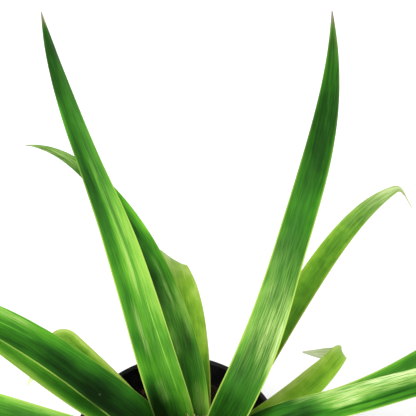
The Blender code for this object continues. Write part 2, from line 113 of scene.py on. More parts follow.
# Grain of a blade's skin: how it is drawn out across and along, in shares of a millimetre
FIBRE_ALONG = 0.034
STREAK_ACROSS = 0.24
STREAK_ALONG = 0.022
BRUSH_ACROSS = 1.5
BRUSH_ALONG = 0.06
VEIN_PITCH_MM = 0.65
VEIN_WIDTH_MM = 0.28
# Whitest scurf colour; where the pale scurf table passes 0.8 it also paints glare and reflections.
THICK_SCURF_AND_HIGHLIGHT = (0.66, 0.76, 0.40)

# Camera, as in the photo, and the studio
EYE = (0.021, -0.424, 1.021)
EYE_TILT_DEGREES = 35
FOCAL_PIXELS = 1398
FRAME_PIXELS = 416
SENSOR_MM = 36.0
FLOOR_REACH = 5.0
LIT_POINT = (0.0, 0.0, 0.2)

# Tapers, and a leaf's rows named in TABLES, are in hundredths. A taper is the share of the
# full half width at shares of the length, foot to tip.
STRAP = ((0, 72), (6, 90), (15, 100), (35, 97), (55, 90), (70, 77), (80, 60), (88, 41), (94, 24),
         (100, 3))
DRAWN = ((0, 85), (6, 95), (15, 100), (35, 95), (55, 84), (70, 62), (80, 44), (88, 29), (94, 17),
         (100, 3))
SWORD = ((0, 72), (6, 90), (15, 100), (35, 98), (50, 89), (60, 75), (70, 61), (80, 52), (88, 40),
         (94, 26), (100, 2))
BROAD = ((0, 76), (6, 93), (15, 100), (30, 98), (38, 91), (50, 81), (60, 77), (70, 71), (80, 56),
         (88, 37), (94, 20), (100, 2))
THREADED = ((0, 80), (15, 100), (35, 98), (55, 93), (70, 82), (80, 66), (90, 38), (93, 26), (94.5, 14),
            (96, 6), (100, 3))
BLUNT = ((0, 80), (10, 92), (30, 100), (60, 100), (75, 80), (90, 45), (100, 5))
PINCHED = ((0, 80), (10, 92), (30, 100), (50, 100), (62, 92), (77, 60), (90, 40), (100, 5))

# One row a leaf: the solid model's row, then how the blade is folded and toned. Across a
# blade 1 is the side to the left of its heading. fold is how far the channel is a V, with
# its crease at crease. line is where a thin pale vein runs, from one share of the length
# to another. run is the tone along the middle, 0 deep green to 1 yellow-green, bands is
# what is added across and swell how much of it along. Besides a leaf's own greens these
# hold painted light and shade: the low run at the foot is painted shade deep in the
# rosette, and run and bands make strips that face the light lighter and strips turned
# from it darker. scurf_and_highlight is the pale scurf along the blade together with
# painted highlights and reflections, and scurf_and_highlight_bands its share across. A
# streak has a start and an end along the blade, its place across at both, a width in
# millimetres and what it adds to tone and to scurf_and_highlight. Streaks mix the leaf's own
# pale stripes and margins with painted shade, such as the dark one at leaf_01's left foot,
# and painted highlights. dull is how many millimetres narrower the pale margin is, on the
# side at -1 and at 1.
PLAIN_LEAF = dict(
    taper=STRAP, roll=(0, 0), bend=None, fold=0.45, crease=0.0, dull=(0.0, 0.0), line=(),
    streaks=(),
    # run starts low: painted shade at each leaf's foot. The pale scurf table carries a painted sheen as
    # well as scurf.
    run=((0, 15), (15, 30), (30, 48), (50, 45), (75, 32), (100, 28)),
    bands=((-100, 12), (-50, -3), (50, -3), (100, 12)),
    swell=((0, 40), (25, 100), (60, 90), (100, 40)),
    scurf_and_highlight=((0, 0), (25, 15), (40, 35), (60, 10), (100, 20)),
    scurf_and_highlight_bands=((-100, 100), (100, 100)))
TABLES = ("taper", "line", "streaks", "run", "bands", "swell", "scurf_and_highlight", "scurf_and_highlight_bands")
# These leaves' tone tables, streaks and pale scurf tables hold, besides their own greens, scurf and
# stripes, painted shade on shaded feet and sides, and painted highlights and reflections in the pale
# scurf, most on leaf_01, leaf_02, leaf_03 and leaf_06.
SHOWN_LEAVES = (
    dict(name="leaf_01", ring=1, length=334, half_width=13.9, lean=(38, 44, 49, 55),
         heading=(127, 112, 119, 106), roll=(-30, -40), taper=SWORD, fold=0.8, crease=-0.1,
         dull=(0.25, 0),
         line=((20, -50), (38, -35)),
         # leaf_01: the dark streak at its left foot, from 8 to 26 along, is painted shade; the whitish
         # streaks from 26 to 56 along are painted highlights.
         streaks=((40, 76, 0, 0, 140, 16, 20), (38, 56, 0, 0, 100, 16, 50),
                 (42, 66, -24, -18, 110, -16, 0), (8, 26, 90, 70, 550, -26, 0),
                 (20, 32, 90, 90, 300, 14, 0), (72, 84, 95, 95, 250, 18, 0),
                 (74, 94, -50, -50, 300, 9, 0), (26, 42, 34, 40, 180, 8, 65),
                 (16, 24, 15, 25, 350, 8, 35), (50, 66, -50, -50, 350, 10, 10),
                 (8, 20, -85, -85, 350, 12, 0), (24, 34, -45, -45, 300, 9, 0),
                 (76, 99, -75, -60, 350, -15, 0)),
         run=((0, 12), (14, 28), (20, 56), (25, 70), (30, 60), (36, 72), (46, 77), (50, 70), (55, 68),
             (64, 43), (72, 50), (80, 40), (90, 34), (100, 18)),
         bands=((-100, 24), (-50, 10), (-15, -2), (15, 0), (50, -20), (100, -6)),
         swell=((0, 160), (16, 180), (22, 40), (34, 70), (46, 110), (60, 110), (72, 80), (84, 50),
               (100, 0)),
         scurf_and_highlight=((0, 0), (20, 10), (50, 20), (100, 0)),
         scurf_and_highlight_bands=((-100, 100), (-10, 90), (30, 0), (100, 0))),
    dict(name="leaf_02", ring=1, length=335, half_width=13.9, lean=(45, 40, 45, 55),
         heading=(33, 63.5, 68.8, 94.5), taper=BROAD, fold=0.2, crease=0.1,
         streaks=((25, 45, -90, -90, 260, 22, 80), (34, 47, -40, -35, 200, 0, 40),
                 (27, 42, -10, -5, 200, 6, 60), (33, 48, 45, 40, 240, 8, 30),
                 (42, 56, 90, 90, 400, -20, 0), (58, 80, -95, -95, 220, 14, 0),
                 (43, 56, -65, -60, 500, -4, -10), (22, 34, 45, 35, 300, -10, 0),
                 (26, 40, -60, -60, 200, -6, 0), (10, 33, 85, 85, 350, -17, 0)),
         run=((0, 10), (16, 24), (22, 42), (30, 50), (38, 54), (44, 53), (52, 50), (60, 45), (68, 31),
             (76, 28), (82, 22), (88, 31), (95, 31), (100, 40)),
         bands=((-100, 6), (-50, 1), (-10, 0), (20, 0), (50, 6), (85, 26), (100, 34)),
         swell=((0, 100), (42, 110), (52, 70), (62, 50), (100, 60)),
         # leaf_02: the pale scurf from 25 to 50 along, in this table and its streaks, is partly pale
         # tissue and partly a painted highlight.
         scurf_and_highlight=((0, 0), (20, 10), (28, 35), (35, 60), (41, 45), (50, 35), (60, 5), (85, 0), (92, 15),
               (100, 40)),
         scurf_and_highlight_bands=((-100, 90), (-40, 100), (0, 70), (40, 80), (100, 90))),
    dict(name="leaf_03", ring=2, length=298, half_width=11.5, lean=(46, 69, 89, 123),
         heading=(91, 111, 126, 149), taper=DRAWN, fold=0.5, crease=0.1, dull=(0.7, 0.4),
         streaks=((36, 54, -28, -32, 100, 10, 45), (29, 45, -68, -80, 180, 16, 35),
                 (26, 37, -45, -50, 220, -20, 0), (26, 36, 30, 35, 300, 18, 20),
                 (38, 50, 40, 40, 300, -10, 0), (10, 22, -50, -40, 350, 10, 40),
                 (54, 68, -85, -80, 250, 14, 0), (54, 68, -15, -15, 200, -14, 0)),
         run=((0, 25), (14, 50), (20, 42), (28, 36), (36, 50), (42, 38), (48, 32), (56, 32), (68, 35),
             (84, 41), (92, 42), (100, 54)),
         bands=((-100, 34), (-85, 25), (-50, 12), (-15, 5), (15, -6), (50, -5), (100, 0)),
         swell=((0, 120), (16, 150), (22, 80), (30, 60), (38, 100), (60, 130), (72, 80), (84, 10),
               (100, 10)),
         scurf_and_highlight=((0, 0), (30, 15), (38, 25), (50, 0), (75, 10), (85, 60), (100, 80)),
         scurf_and_highlight_bands=((-100, 80), (-20, 100), (40, 80), (100, 90))),
    dict(name="leaf_04", ring=2, length=285, half_width=13.4, lean=(57, 65, 78, 92),
         heading=(161, 152, 162, 163), fold=0.6, crease=-0.1, dull=(0.7, 0.1),
         line=((52, -20), (62, -12)),
         streaks=((38, 54, -15, -15, 300, -12, 0), (50, 64, 85, 85, 300, -14, 0),
                 (50, 72, -75, -72, 200, 4, 50)),
         run=((0, 10), (22, 12), (30, 4), (38, 14), (44, 27), (50, 34), (56, 42), (62, 55), (80, 50),
             (100, 46)),
         bands=((-100, 34), (-85, 32), (-50, 20), (-15, 2), (15, 0), (50, -9), (85, 5), (100, 8)),
         swell=((0, 80), (25, 90), (40, 110), (50, 110), (60, 80), (100, 60)),
         scurf_and_highlight=((0, 0), (48, 5), (62, 20), (100, 20)),
         scurf_and_highlight_bands=((-100, 100), (-30, 60), (10, 10), (100, 30))),
    dict(name="leaf_05", ring=3, length=268, half_width=9.5, lean=(55, 62, 76, 107),
         heading=(46, 53, 52, 40), taper=THREADED, bend=(250, 140, -40, 12), fold=0.2, crease=0,
         run=((0, 15), (25, 34), (48, 41), (56, 43), (64, 46), (72, 50), (79, 43), (85, 51), (90, 68),
             (100, 94)),
         bands=((-100, 22), (-85, 8), (-50, 0), (-15, 0), (15, 0), (50, 9), (85, 20), (100, 28)),
         swell=((0, 100), (70, 100), (82, 80), (88, 0), (100, 0)),
         scurf_and_highlight=((0, 0), (60, 5), (75, 25), (84, 60), (90, 120), (100, 170)),
         scurf_and_highlight_bands=((-100, 80), (0, 80), (100, 100))),
    dict(name="leaf_06", ring=4, length=280, half_width=12, lean=(58, 65, 74, 85), heading=(15, 3, 7, 3),
         fold=0.9, crease=-0.1, dull=(0.2, 0.6),
         run=((0, 15), (24, 30), (31, 28), (36, 50), (40, 60), (44, 70), (48, 62), (54, 50), (100, 48)),
         bands=((-100, 6), (-50, 2), (-15, -2), (15, 3), (50, 14), (85, 6), (100, 0)),
         streaks=((36, 62, -32, -20, 90, -30, -30), (42, 66, -80, -68, 90, -28, 0),
                 (38, 48, -5, 5, 240, 16, 80), (30, 38, 20, 20, 900, -10, 0),
                 (49, 70, -12, 0, 240, -12, -20), (35, 46, -60, -55, 360, -14, 0),
                 (46, 66, 85, 85, 260, 8, 50), (28, 42, 90, 90, 250, 16, 40)),
         # leaf_06: the pale scurf on its half towards 1 across, from 38 along, is partly scurf and
         # partly a painted reflection, whitest where it passes 0.8.
         scurf_and_highlight=((0, 0), (34, 10), (38, 50), (43, 105), (48, 90), (60, 85), (100, 50)),
         scurf_and_highlight_bands=((-100, 10), (-15, 10), (10, 50), (40, 100), (100, 100))),
    dict(name="leaf_07", ring=4, length=260, half_width=12, lean=(66, 72, 82, 92),
         heading=(186, 171, 169, 173), fold=0.5, crease=0,
         run=((0, 15), (35, 46), (50, 54), (100, 48)),
         bands=((-100, 42), (-80, 28), (-50, 5), (0, -4), (100, 10)),
         streaks=((36, 54, -85, -85, 200, 6, 30),),
         scurf_and_highlight=((0, 0), (40, 30), (60, 30), (100, 20)),
         scurf_and_highlight_bands=((-100, 100), (-40, 50), (100, 30))),
    dict(name="leaf_08", ring=5, length=260, half_width=11, lean=(68, 73, 81, 91),
         heading=(165, 151, 148, 156), fold=0.4, crease=0,
         run=((0, 10), (26, 48), (36, 40), (42, 52), (50, 70), (58, 56), (100, 50)),
         bands=((-100, 10), (-15, 10), (15, 0), (50, 8), (85, 42), (100, 50)),
         swell=((0, 100), (100, 100)),
         scurf_and_highlight=((0, 0), (100, 0))),
    dict(name="leaf_09", ring=5, length=265, half_width=12, lean=(68, 70, 76, 85),
         heading=(19, 9, 28, 19), fold=0.4, crease=0,
         run=((0, 12), (35, 35), (55, 48), (100, 46)),
         bands=((-100, 10), (20, -4), (50, -8), (85, 10), (100, 14))),
    dict(name="leaf_10", ring=5, length=200, half_width=12.8, lean=(47, 59, 71, 83),
         heading=(92, 93, 99, 108), taper=BLUNT, roll=(26, 66), bend=(141, 165, 100, 12), fold=0.2,
         crease=0,
         run=((0, 5), (25, 30), (38, 50), (46, 50), (54, 62), (62, 64), (70, 78), (100, 85)),
         bands=((-100, 30), (-50, 13), (-15, 0), (15, 3), (100, 15)),
         swell=((0, 0), (30, 30), (40, 100), (100, 80)),
         scurf_and_highlight=((0, 0), (56, 0), (66, 35), (74, 80), (100, 70)),
         scurf_and_highlight_bands=((-100, 30), (-50, 70), (10, 100), (100, 100))),
    dict(name="leaf_11", ring=6, length=150, half_width=10.5, lean=(58, 64, 68, 73),
         heading=(32, 25, 34, 52), taper=PINCHED, bend=(119, 252, -14, 8), fold=0.1, crease=0,
         run=((0, 10), (25, 36), (36, 64), (45, 66), (62, 64), (72, 70), (80, 84), (100, 95)),
         bands=((-100, 8), (-50, 0), (-15, 0), (15, 2), (50, 12), (100, 36)),
         swell=((0, 0), (30, 50), (38, 100), (66, 100), (76, 50), (100, 20)),
         scurf_and_highlight=((0, 0), (72, 5), (82, 70), (100, 110))),
    dict(name="leaf_12", ring=6, length=174, half_width=9.5, lean=(63, 68, 74, 79),
         heading=(140, 139, 140, 134), taper=BLUNT, bend=(117, 148, 205, 12), fold=0.2, crease=0,
         run=((0, 5), (30, 22), (46, 44), (60, 50), (68, 62), (80, 74), (100, 95)),
         bands=((-100, 60), (-80, 40), (-50, 5), (0, 0), (100, 10)),
         swell=((0, 40), (30, 100), (66, 100), (75, 30), (100, 0)),
         scurf_and_highlight=((0, 0), (60, 0), (68, 20), (90, 90), (100, 110))),
)

# The young inner leaves and those of the front half, from leaf_13 on, plainly toned: ring,
# length, half width, lean and heading
GUESSED_LEAVES = (
    (0, 125, 8, (14, 24, 34, 44), (235, 232, 230, 228)),
    (0, 110, 8, (14, 24, 34, 46), (305, 306, 308, 310)),
    (1, 320, 13, (36, 44, 52, 62), (265, 262, 258, 252)),
    (2, 300, 12, (48, 58, 70, 88), (230, 227, 222, 214)),
    (2, 310, 12.5, (46, 56, 66, 80), (304, 303, 306, 312)),
    (3, 285, 11.5, (58, 66, 78, 96), (202, 203, 205, 206)),
    (3, 290, 12, (56, 66, 78, 98), (276, 276, 272, 266)),
    (4, 270, 12, (64, 72, 84, 102), (246, 245, 243, 240)),
    (4, 275, 11.5, (62, 70, 82, 100), (310, 323, 330, 336)),
    (5, 255, 11, (72, 78, 86, 100), (218, 216, 218, 224)),
    (5, 250, 11, (70, 76, 88, 108), (290, 292, 296, 300)),
    (6, 200, 10.5, (72, 78, 88, 104), (256, 256, 254, 250)),
    (6, 190, 10, (70, 76, 86, 102), (342, 344, 346, 350)),
)


def whole_row(row):
    """A leaf's row, with the plain values where it has none and its tables in full."""
    row = {**PLAIN_LEAF, **row}
    for label in TABLES:
        row[label] = [tuple(value / 100 for value in entry) for entry in row[label]]
    return row


GUESSED_LABELS = ("ring", "length", "half_width", "lean", "heading")
LEAVES = [whole_row(row) for row in SHOWN_LEAVES]
for number, row in enumerate(GUESSED_LEAVES, 13):
    LEAVES.append(whole_row(dict(zip(GUESSED_LABELS, row), name="leaf_%d" % number)))
OLD_LEAVES = ("leaf_05", "leaf_10", "leaf_11", "leaf_12")
YOUNG_LEAVES = ("leaf_13", "leaf_14")
BLADE_FIELDS = ("flow", "edge_mm", "tip_mm", "vein_mm", "tone", "scurf_and_highlight", "under")


# Node helpers

class Wire:
    """A node's output. Sums and products of wires make further nodes."""

    def __init__(self, socket):
        self.socket = socket

    def __add__(self, other):
        return maths("ADD", self, other)

    def __sub__(self, other):
        return maths("SUBTRACT", self, other)

    def __rsub__(self, other):
        return maths("SUBTRACT", other, self)

    def __mul__(self, other):
        return maths("MULTIPLY", self, other)

    def __truediv__(self, other):
        return maths("DIVIDE", self, other)

    def __rtruediv__(self, other):
        return maths("DIVIDE", other, self)


class Made:
    """A new node, whose outputs are read as wires, by name or number."""

    def __init__(self, node):
        self.node = node

    def __getitem__(self, key):
        return Wire(self.node.outputs[key])


def tree_of(values):
    return next(value.socket.id_data for value in values if isinstance(value, Wire))


def plug(value, socket):
    """A wire is linked to the socket. A plain number, vector or colour is written on it."""
    if isinstance(value, Wire):
        socket.id_data.links.new(value.socket, socket)
    elif socket.type == "RGBA":
        socket.default_value = (*value, 1.0)
    else:
        socket.default_value = value


def add(tree, kind, values=None, **settings):
    node = tree.nodes.new(kind)
    for name, setting in settings.items():
        setattr(node, name, setting)
    for key, value in (values or {}).items():
        plug(value, node.inputs[key])
    return Made(node)


def maths(operation, *values):
    return add(tree_of(values), "ShaderNodeMath", dict(enumerate(values)), operation=operation)[0]


def vectors(operation, *values, output="Vector"):
    return add(tree_of(values), "ShaderNodeVectorMath", dict(enumerate(values)),
               operation=operation)[output]


def xyz(*values):
    return add(tree_of(values), "ShaderNodeCombineXYZ", dict(enumerate(values)))[0]


def split(vector):
    return add(tree_of([vector]), "ShaderNodeSeparateXYZ", {0: vector})


def step(value, low, high, start=0.0, end=1.0):
    """A smooth step from start to end while the value goes from low to high."""
    return add(tree_of([value]), "ShaderNodeMapRange", {0: value, 1: low, 2: high, 3: start, 4: end},
               interpolation_type="SMOOTHSTEP")[0]


def tint(factor, first, second):
    return add(tree_of([factor, first, second]), "ShaderNodeMix", {0: factor, 6: first, 7: second},
               data_type="RGBA")[2]


def clouds(place, scale, detail=3.0, roughness=0.5):
    return add(tree_of([place]), "ShaderNodeTexNoise", {
        "Vector": place, "Scale": scale, "Detail": detail, "Roughness": roughness})["Fac"]


def bump(height, distance, strength):
    return add(tree_of([height]), "ShaderNodeBump", {
        "Height": height, "Distance": distance, "Strength": strength})[0]


def stored(tree, name, output="Fac"):
    return add(tree, "ShaderNodeAttribute", attribute_name=name)[output]


def new_group(name, outputs, output_kind="Float", tree_kind="ShaderNodeTree", **inputs):
    """A node group and its two ends. An input is a number it starts at, or its kind."""
    tree = bpy.data.node_groups.new(name, tree_kind)
    for label, value in inputs.items():
        kind = value if isinstance(value, str) else type(value).__name__.capitalize()
        entry = tree.interface.new_socket(label.replace("_", " "), in_out="INPUT",
                                          socket_type="NodeSocket" + kind)
        if kind != value:
            entry.default_value = value
    for label in outputs:
        tree.interface.new_socket(label, in_out="OUTPUT", socket_type="NodeSocket" + output_kind)
    return tree, add(tree, "NodeGroupInput"), tree.nodes.new("NodeGroupOutput").inputs


def use(group, **values):
    """A group placed in a material, its inputs given by their names."""
    return add(tree_of(values.values()), "ShaderNodeGroup", values, node_tree=group)


def new_finish(name, **plain):
    """A material, its shader and the place on the object. Plain values are written on the
    shader's own sockets."""
    finish = bpy.data.materials.new(name)
    finish.use_nodes = True
    shader = finish.node_tree.nodes["Principled BSDF"]
    connect(shader, **plain)
    return finish, shader, add(finish.node_tree, "ShaderNodeTexCoord")["Object"]


def connect(shader, **values):
    for label, value in values.items():
        plug(value, shader.inputs[label.replace("_", " ")])


# Effects that several finishes share

def make_fibres():
    """Parallel veins of a blade. Flow is millimetres across and along it."""
    tree, given, out = new_group("blade_fibres", ("Fibre", "Streak", "Brush", "Height"),
                                 Flow="Vector", Pitch=1.0)
    flow = given["Flow"]
    per_pitch = 1.0 / given["Pitch"]
    fine = vectors("MULTIPLY", flow, xyz(per_pitch, FIBRE_ALONG, 1.0))
    broad = vectors("MULTIPLY", flow, xyz(per_pitch * STREAK_ACROSS, STREAK_ALONG, 1.0))
    brushed = vectors("MULTIPLY", flow, (BRUSH_ACROSS, BRUSH_ALONG, 1.0))
    fibre = clouds(fine, 1.0, 2.0)
    rib = maths("SINE", split(flow)[0] * per_pitch * (2 * pi))
    plug(step(fibre, 0.3, 0.7), out["Fibre"])
    plug(step(clouds(broad, 1.0, 2.0), 0.36, 0.66), out["Streak"])
    plug(step(clouds(brushed, 1.0, 3.0, 0.6), 0.38, 0.62), out["Brush"])
    plug(rib * 0.10 + fibre, out["Height"])
    return tree


def make_blotches():
    """Soft uneven patches, 0 to 1."""
    tree, given, out = new_group("blotches", ("Patch",), Place="Vector", Scale=40.0)
    plug(step(clouds(given["Place"], given["Scale"]), 0.32, 0.68), out["Patch"])
    return tree


def make_specks():
    """Small separate dots. Rarity is the share of cells that stay empty."""
    tree, given, out = new_group("specks", ("Speck",), Place="Vector", Scale=300.0, Size=0.25,
                                 Rarity=0.8)
    cells = add(tree, "ShaderNodeTexVoronoi", {"Vector": given["Place"], "Scale": given["Scale"]})
    dot = step(cells["Distance"], given["Size"], given["Size"] * 0.5)
    lot = add(tree, "ShaderNodeSeparateColor", {0: cells["Color"]})[0]
    plug(dot * maths("GREATER_THAN", lot, given["Rarity"]), out["Speck"])
    return tree


def make_lines():
    """1 within a width of where Distance is 0, fading to 0 at twice that."""
    tree, given, out = new_group("fine_line", ("Line",), Distance=1.0, Width=0.3)
    away = maths("ABSOLUTE", given["Distance"])
    plug(step(away, given["Width"] * 2.0, given["Width"]), out["Line"])
    return tree


FIBRES = make_fibres()
BLOTCHES = make_blotches()
SPECKS = make_specks()
LINES = make_lines()


# Finishes

def leaf_finish(name, tones, scurf_and_highlight, margin, under, foot, tip, freckle, roughness, coat,
                freckled=0.99, uneven=(0.05, 0.05, 0.11, 0.10), patches=0.03, scorched=0.6,
                withered=1.0):
    """A blade's skin. tones are five greens, deep to yellow, and the pale scurf colour also
    paints highlights and reflections. uneven is how much its streaks, fibres, patches and
    brushed texture change the tone, scorched how brown the blade goes before its tip and
    withered how short the dry tip is."""
    finish, shader, place = new_finish(name, Coat_Roughness=0.22, Specular_IOR_Level=0.16)
    tree = finish.node_tree
    flow = stored(tree, "flow", "Vector")
    back = stored(tree, "under")
    tip_mm = stored(tree, "tip_mm")
    scurf_and_highlight_amount = stored(tree, "scurf_and_highlight")
    veins = use(FIBRES, Flow=flow, Pitch=VEIN_PITCH_MM)
    patch = use(BLOTCHES, Place=flow, Scale=patches)["Patch"]
    vein = use(LINES, Distance=stored(tree, "vein_mm"), Width=VEIN_WIDTH_MM)["Line"]
    tone = vein * 0.22 + stored(tree, "tone")
    for effect, weight in zip((veins["Streak"], veins["Fibre"], patch, veins["Brush"]), uneven):
        tone = (effect - 0.5) * weight + tone
    greens = add(tree, "ShaderNodeValToRGB", {0: tone})
    ramp = greens.node.color_ramp.elements
    for share in (0.25, 0.50, 0.75):
        ramp.new(share)
    for green, element in zip(tones, ramp):
        element.color = (*green, 1.0)
    # Pale scurf mask: the leaf's own whitish scurf, and painted highlights and reflections too.
    scurf_and_sheen = step(scurf_and_highlight_amount, 0.0, 1.0) * (veins["Brush"] * 0.90 + 0.22)
    skin = tint(scurf_and_sheen * 0.85, greens[0], tint(step(scurf_and_highlight_amount, 0.8, 1.6), scurf_and_highlight, THICK_SCURF_AND_HIGHLIGHT))
    paler = tuple(a + (b - a) * 0.45 for a, b in zip(under, tones[1]))
    skin = tint(back * 0.72, skin, tint(veins["Fibre"], under, paler))
    edge = step(stored(tree, "edge_mm"), 1.1, 0.3) * step(tip_mm, 60.0, 190.0, 0.10, 0.90)
    skin = tint(edge * step(tone, 0.05, 0.45, 0.15, 1.0), skin, margin)
    skin = tint(step(split(flow)[1], 30.0, 3.0, 0.0, 0.9), skin, foot)
    spots = use(SPECKS, Place=place, Scale=230.0, Size=0.22, Rarity=freckled)["Speck"]
    skin = tint(spots * 0.35, skin, freckle)
    ragged = veins["Fibre"] * 6.0 + tip_mm * withered
    skin = tint(step(ragged, 14.0, 8.0, 0.0, scorched), skin, freckle)
    dry = step(ragged, 9.5, 6.5)
    gloss = veins["Fibre"] * 0.10 + back * 0.22 + scurf_and_sheen * 0.08 + dry * 0.35 + roughness
    connect(shader, Base_Color=tint(dry, skin, tip), Roughness=gloss,
            Coat_Weight=(1.0 - back) * coat, Normal=bump(veins["Height"], 0.00012, 0.8))
    return finish


def pot_finish():
    """Black moulded plastic, a little scuffed, dusty with soil inside."""
    finish, shader, place = new_finish("black_moulded_plastic", IOR=1.5, Coat_Roughness=0.3)
    patch = use(BLOTCHES, Place=place, Scale=55.0)["Patch"]
    drawn = vectors("MULTIPLY", place, (60.0, 60.0, 900.0))
    scuff = step(clouds(drawn, 1.0, 4.0, 0.65), 0.60, 0.72) * step(patch, 0.35, 0.9)
    skin = tint(patch, (0.006, 0.006, 0.007), (0.013, 0.013, 0.014))
    skin = tint(scuff * 0.35, skin, (0.07, 0.07, 0.072))
    dirt = use(SPECKS, Place=place, Scale=420.0, Size=0.34, Rarity=0.72)["Speck"]
    soiled = dirt * step(split(place)[2], 0.116, 0.094, 0.0, 0.9) * stored(finish.node_tree, "inside")
    connect(shader, Base_Color=tint(soiled, skin, (0.075, 0.045, 0.025)),
            Roughness=patch * 0.10 + scuff * 0.25 + soiled * 0.5 + 0.30,
            Normal=bump(scuff * 0.3 + clouds(place, 2600.0, 1.0), 0.00006, 0.5))
    return finish


def soil_finish(name, dark, light, grains, rarity):
    """Peat, or with other browns the crumbs and bark on it."""
    finish, shader, place = new_finish(name, Specular_IOR_Level=0.25)
    fine = clouds(place, 1500.0, 4.0, 0.7)
    skin = tint(use(BLOTCHES, Place=place, Scale=grains)["Patch"], dark, light)
    skin = tint(step(fine, 0.35, 0.7), skin, tint(0.5, dark, skin))
    fleck = use(SPECKS, Place=place, Scale=520.0, Size=0.30, Rarity=rarity)["Speck"]
    connect(shader, Base_Color=tint(fleck * 0.8, skin, (0.13, 0.075, 0.036)),
            Roughness=fine * 0.2 + 0.75, Normal=bump(fine, 0.0006, 0.9))
    return finish


def fruit_finish():
    """Young fruit: green between the eyes, red on them, dry at the tips of the scales."""
    finish, shader, place = new_finish("young_fruit_skin", Coat_Roughness=0.3, IOR=1.42)
    patch = use(BLOTCHES, Place=place, Scale=260.0)["Patch"]
    grain = clouds(place, 1800.0)
    raised = stored(finish.node_tree, "raised")
    scale = stored(finish.node_tree, "scale_share")
    skin = tint(step(raised, 0.1, 0.8), (0.10, 0.14, 0.035),
                tint(patch, (0.36, 0.075, 0.045), (0.50, 0.17, 0.085)))
    skin = tint(step(scale, 0.02, 0.5), skin, (0.55, 0.20, 0.15))
    skin = tint(step(scale, 0.65, 1.0), skin, (0.42, 0.30, 0.18))
    connect(shader, Base_Color=skin, Roughness=grain * 0.25 + 0.30,
            Normal=bump(grain, 0.00012, 0.7))
    return finish


def stem_finish():
    """Pale fleshy stem with faint rings, browner near the soil."""
    finish, shader, place = new_finish("stem_skin", IOR=1.42)
    grain = clouds(vectors("MULTIPLY", place, (900.0, 900.0, 60.0)), 1.0)
    patch = use(BLOTCHES, Place=place, Scale=140.0)["Patch"]
    skin = tint(patch, (0.30, 0.36, 0.12), (0.45, 0.47, 0.22))
    skin = tint(step(split(place)[2], 0.104, 0.094, 0.0, 0.8), skin, (0.16, 0.10, 0.05))
    skin = tint(step(grain, 0.5, 0.75, 0.0, 0.35), skin, (0.20, 0.22, 0.07))
    connect(shader, Base_Color=skin, Roughness=grain * 0.2 + 0.42,
            Normal=bump(grain, 0.0002, 0.6))
    return finish


GREEN_LEAF = leaf_finish(
    "leaf_skin",
    ((0.003, 0.014, 0.0015), (0.009, 0.052, 0.004), (0.028, 0.148, 0.008),
     (0.085, 0.305, 0.016), (0.290, 0.545, 0.065)),
    scurf_and_highlight=(0.32, 0.45, 0.13), margin=(0.38, 0.53, 0.085), under=(0.06, 0.15, 0.03),
    foot=(0.05, 0.11, 0.02), tip=(0.22, 0.19, 0.16), freckle=(0.16, 0.17, 0.06),
    roughness=0.34, coat=0.06, freckled=0.995)
# Old leaves: the pale underside colour is partly their own pale underside and partly painted light,
# brightened to stand for light shining through the thin flaps seen from below.
OLD_LEAF = leaf_finish(
    "old_leaf_skin",
    ((0.008, 0.022, 0.003), (0.034, 0.105, 0.008), (0.085, 0.235, 0.014),
     (0.200, 0.380, 0.026), (0.390, 0.545, 0.105)),
    scurf_and_highlight=(0.46, 0.57, 0.25), margin=(0.38, 0.42, 0.05), under=(0.60, 0.74, 0.35),
    foot=(0.10, 0.11, 0.04), tip=(0.66, 0.72, 0.46), freckle=(0.24, 0.13, 0.03),
    roughness=0.50, coat=0.04, freckled=0.955, uneven=(0.05, 0.05, 0.12, 0.10), patches=0.12,
    scorched=0.1, withered=0.4)
YOUNG_LEAF = leaf_finish(
    "young_leaf_skin",
    ((0.010, 0.040, 0.004), (0.025, 0.090, 0.009), (0.060, 0.190, 0.018),
     (0.140, 0.310, 0.035), (0.300, 0.460, 0.090)),
    scurf_and_highlight=(0.36, 0.46, 0.20), margin=(0.26, 0.36, 0.07), under=(0.10, 0.20, 0.06),
    foot=(0.22, 0.26, 0.09), tip=(0.26, 0.20, 0.14), freckle=(0.20, 0.16, 0.07),
    roughness=0.34, coat=0.10)
CROWN_LEAF = leaf_finish(
    "crown_leaf_skin",
    ((0.022, 0.070, 0.012), (0.045, 0.120, 0.020), (0.090, 0.190, 0.035),
     (0.170, 0.230, 0.065), (0.320, 0.260, 0.130)),
    scurf_and_highlight=(0.34, 0.34, 0.22), margin=(0.34, 0.20, 0.11), under=(0.12, 0.19, 0.07),
    foot=(0.20, 0.18, 0.08), tip=(0.40, 0.28, 0.19), freckle=(0.34, 0.17, 0.11),
    roughness=0.42, coat=0.05)
BRACT_SKIN = leaf_finish(
    "bract_skin",
    ((0.30, 0.070, 0.050), (0.40, 0.110, 0.075), (0.50, 0.170, 0.120),
     (0.56, 0.250, 0.170), (0.60, 0.340, 0.220)),
    scurf_and_highlight=(0.60, 0.40, 0.30), margin=(0.58, 0.30, 0.20), under=(0.44, 0.20, 0.14),
    foot=(0.34, 0.30, 0.14), tip=(0.46, 0.34, 0.22), freckle=(0.40, 0.19, 0.10),
    roughness=0.42, coat=0.08)
BLACK_PLASTIC = pot_finish()
PEAT = soil_finish("peat", (0.006, 0.0045, 0.0035), (0.022, 0.014, 0.010), 130.0, 0.80)
CRUMBS = soil_finish("peat_crumbs", (0.009, 0.006, 0.0045), (0.032, 0.019, 0.011), 420.0, 0.88)
BARK = soil_finish("bark_chips", (0.013, 0.007, 0.004), (0.050, 0.025, 0.012), 300.0, 0.90)
FRUIT_SKIN = fruit_finish()
STEM_SKIN = stem_finish()


# Mesh helpers

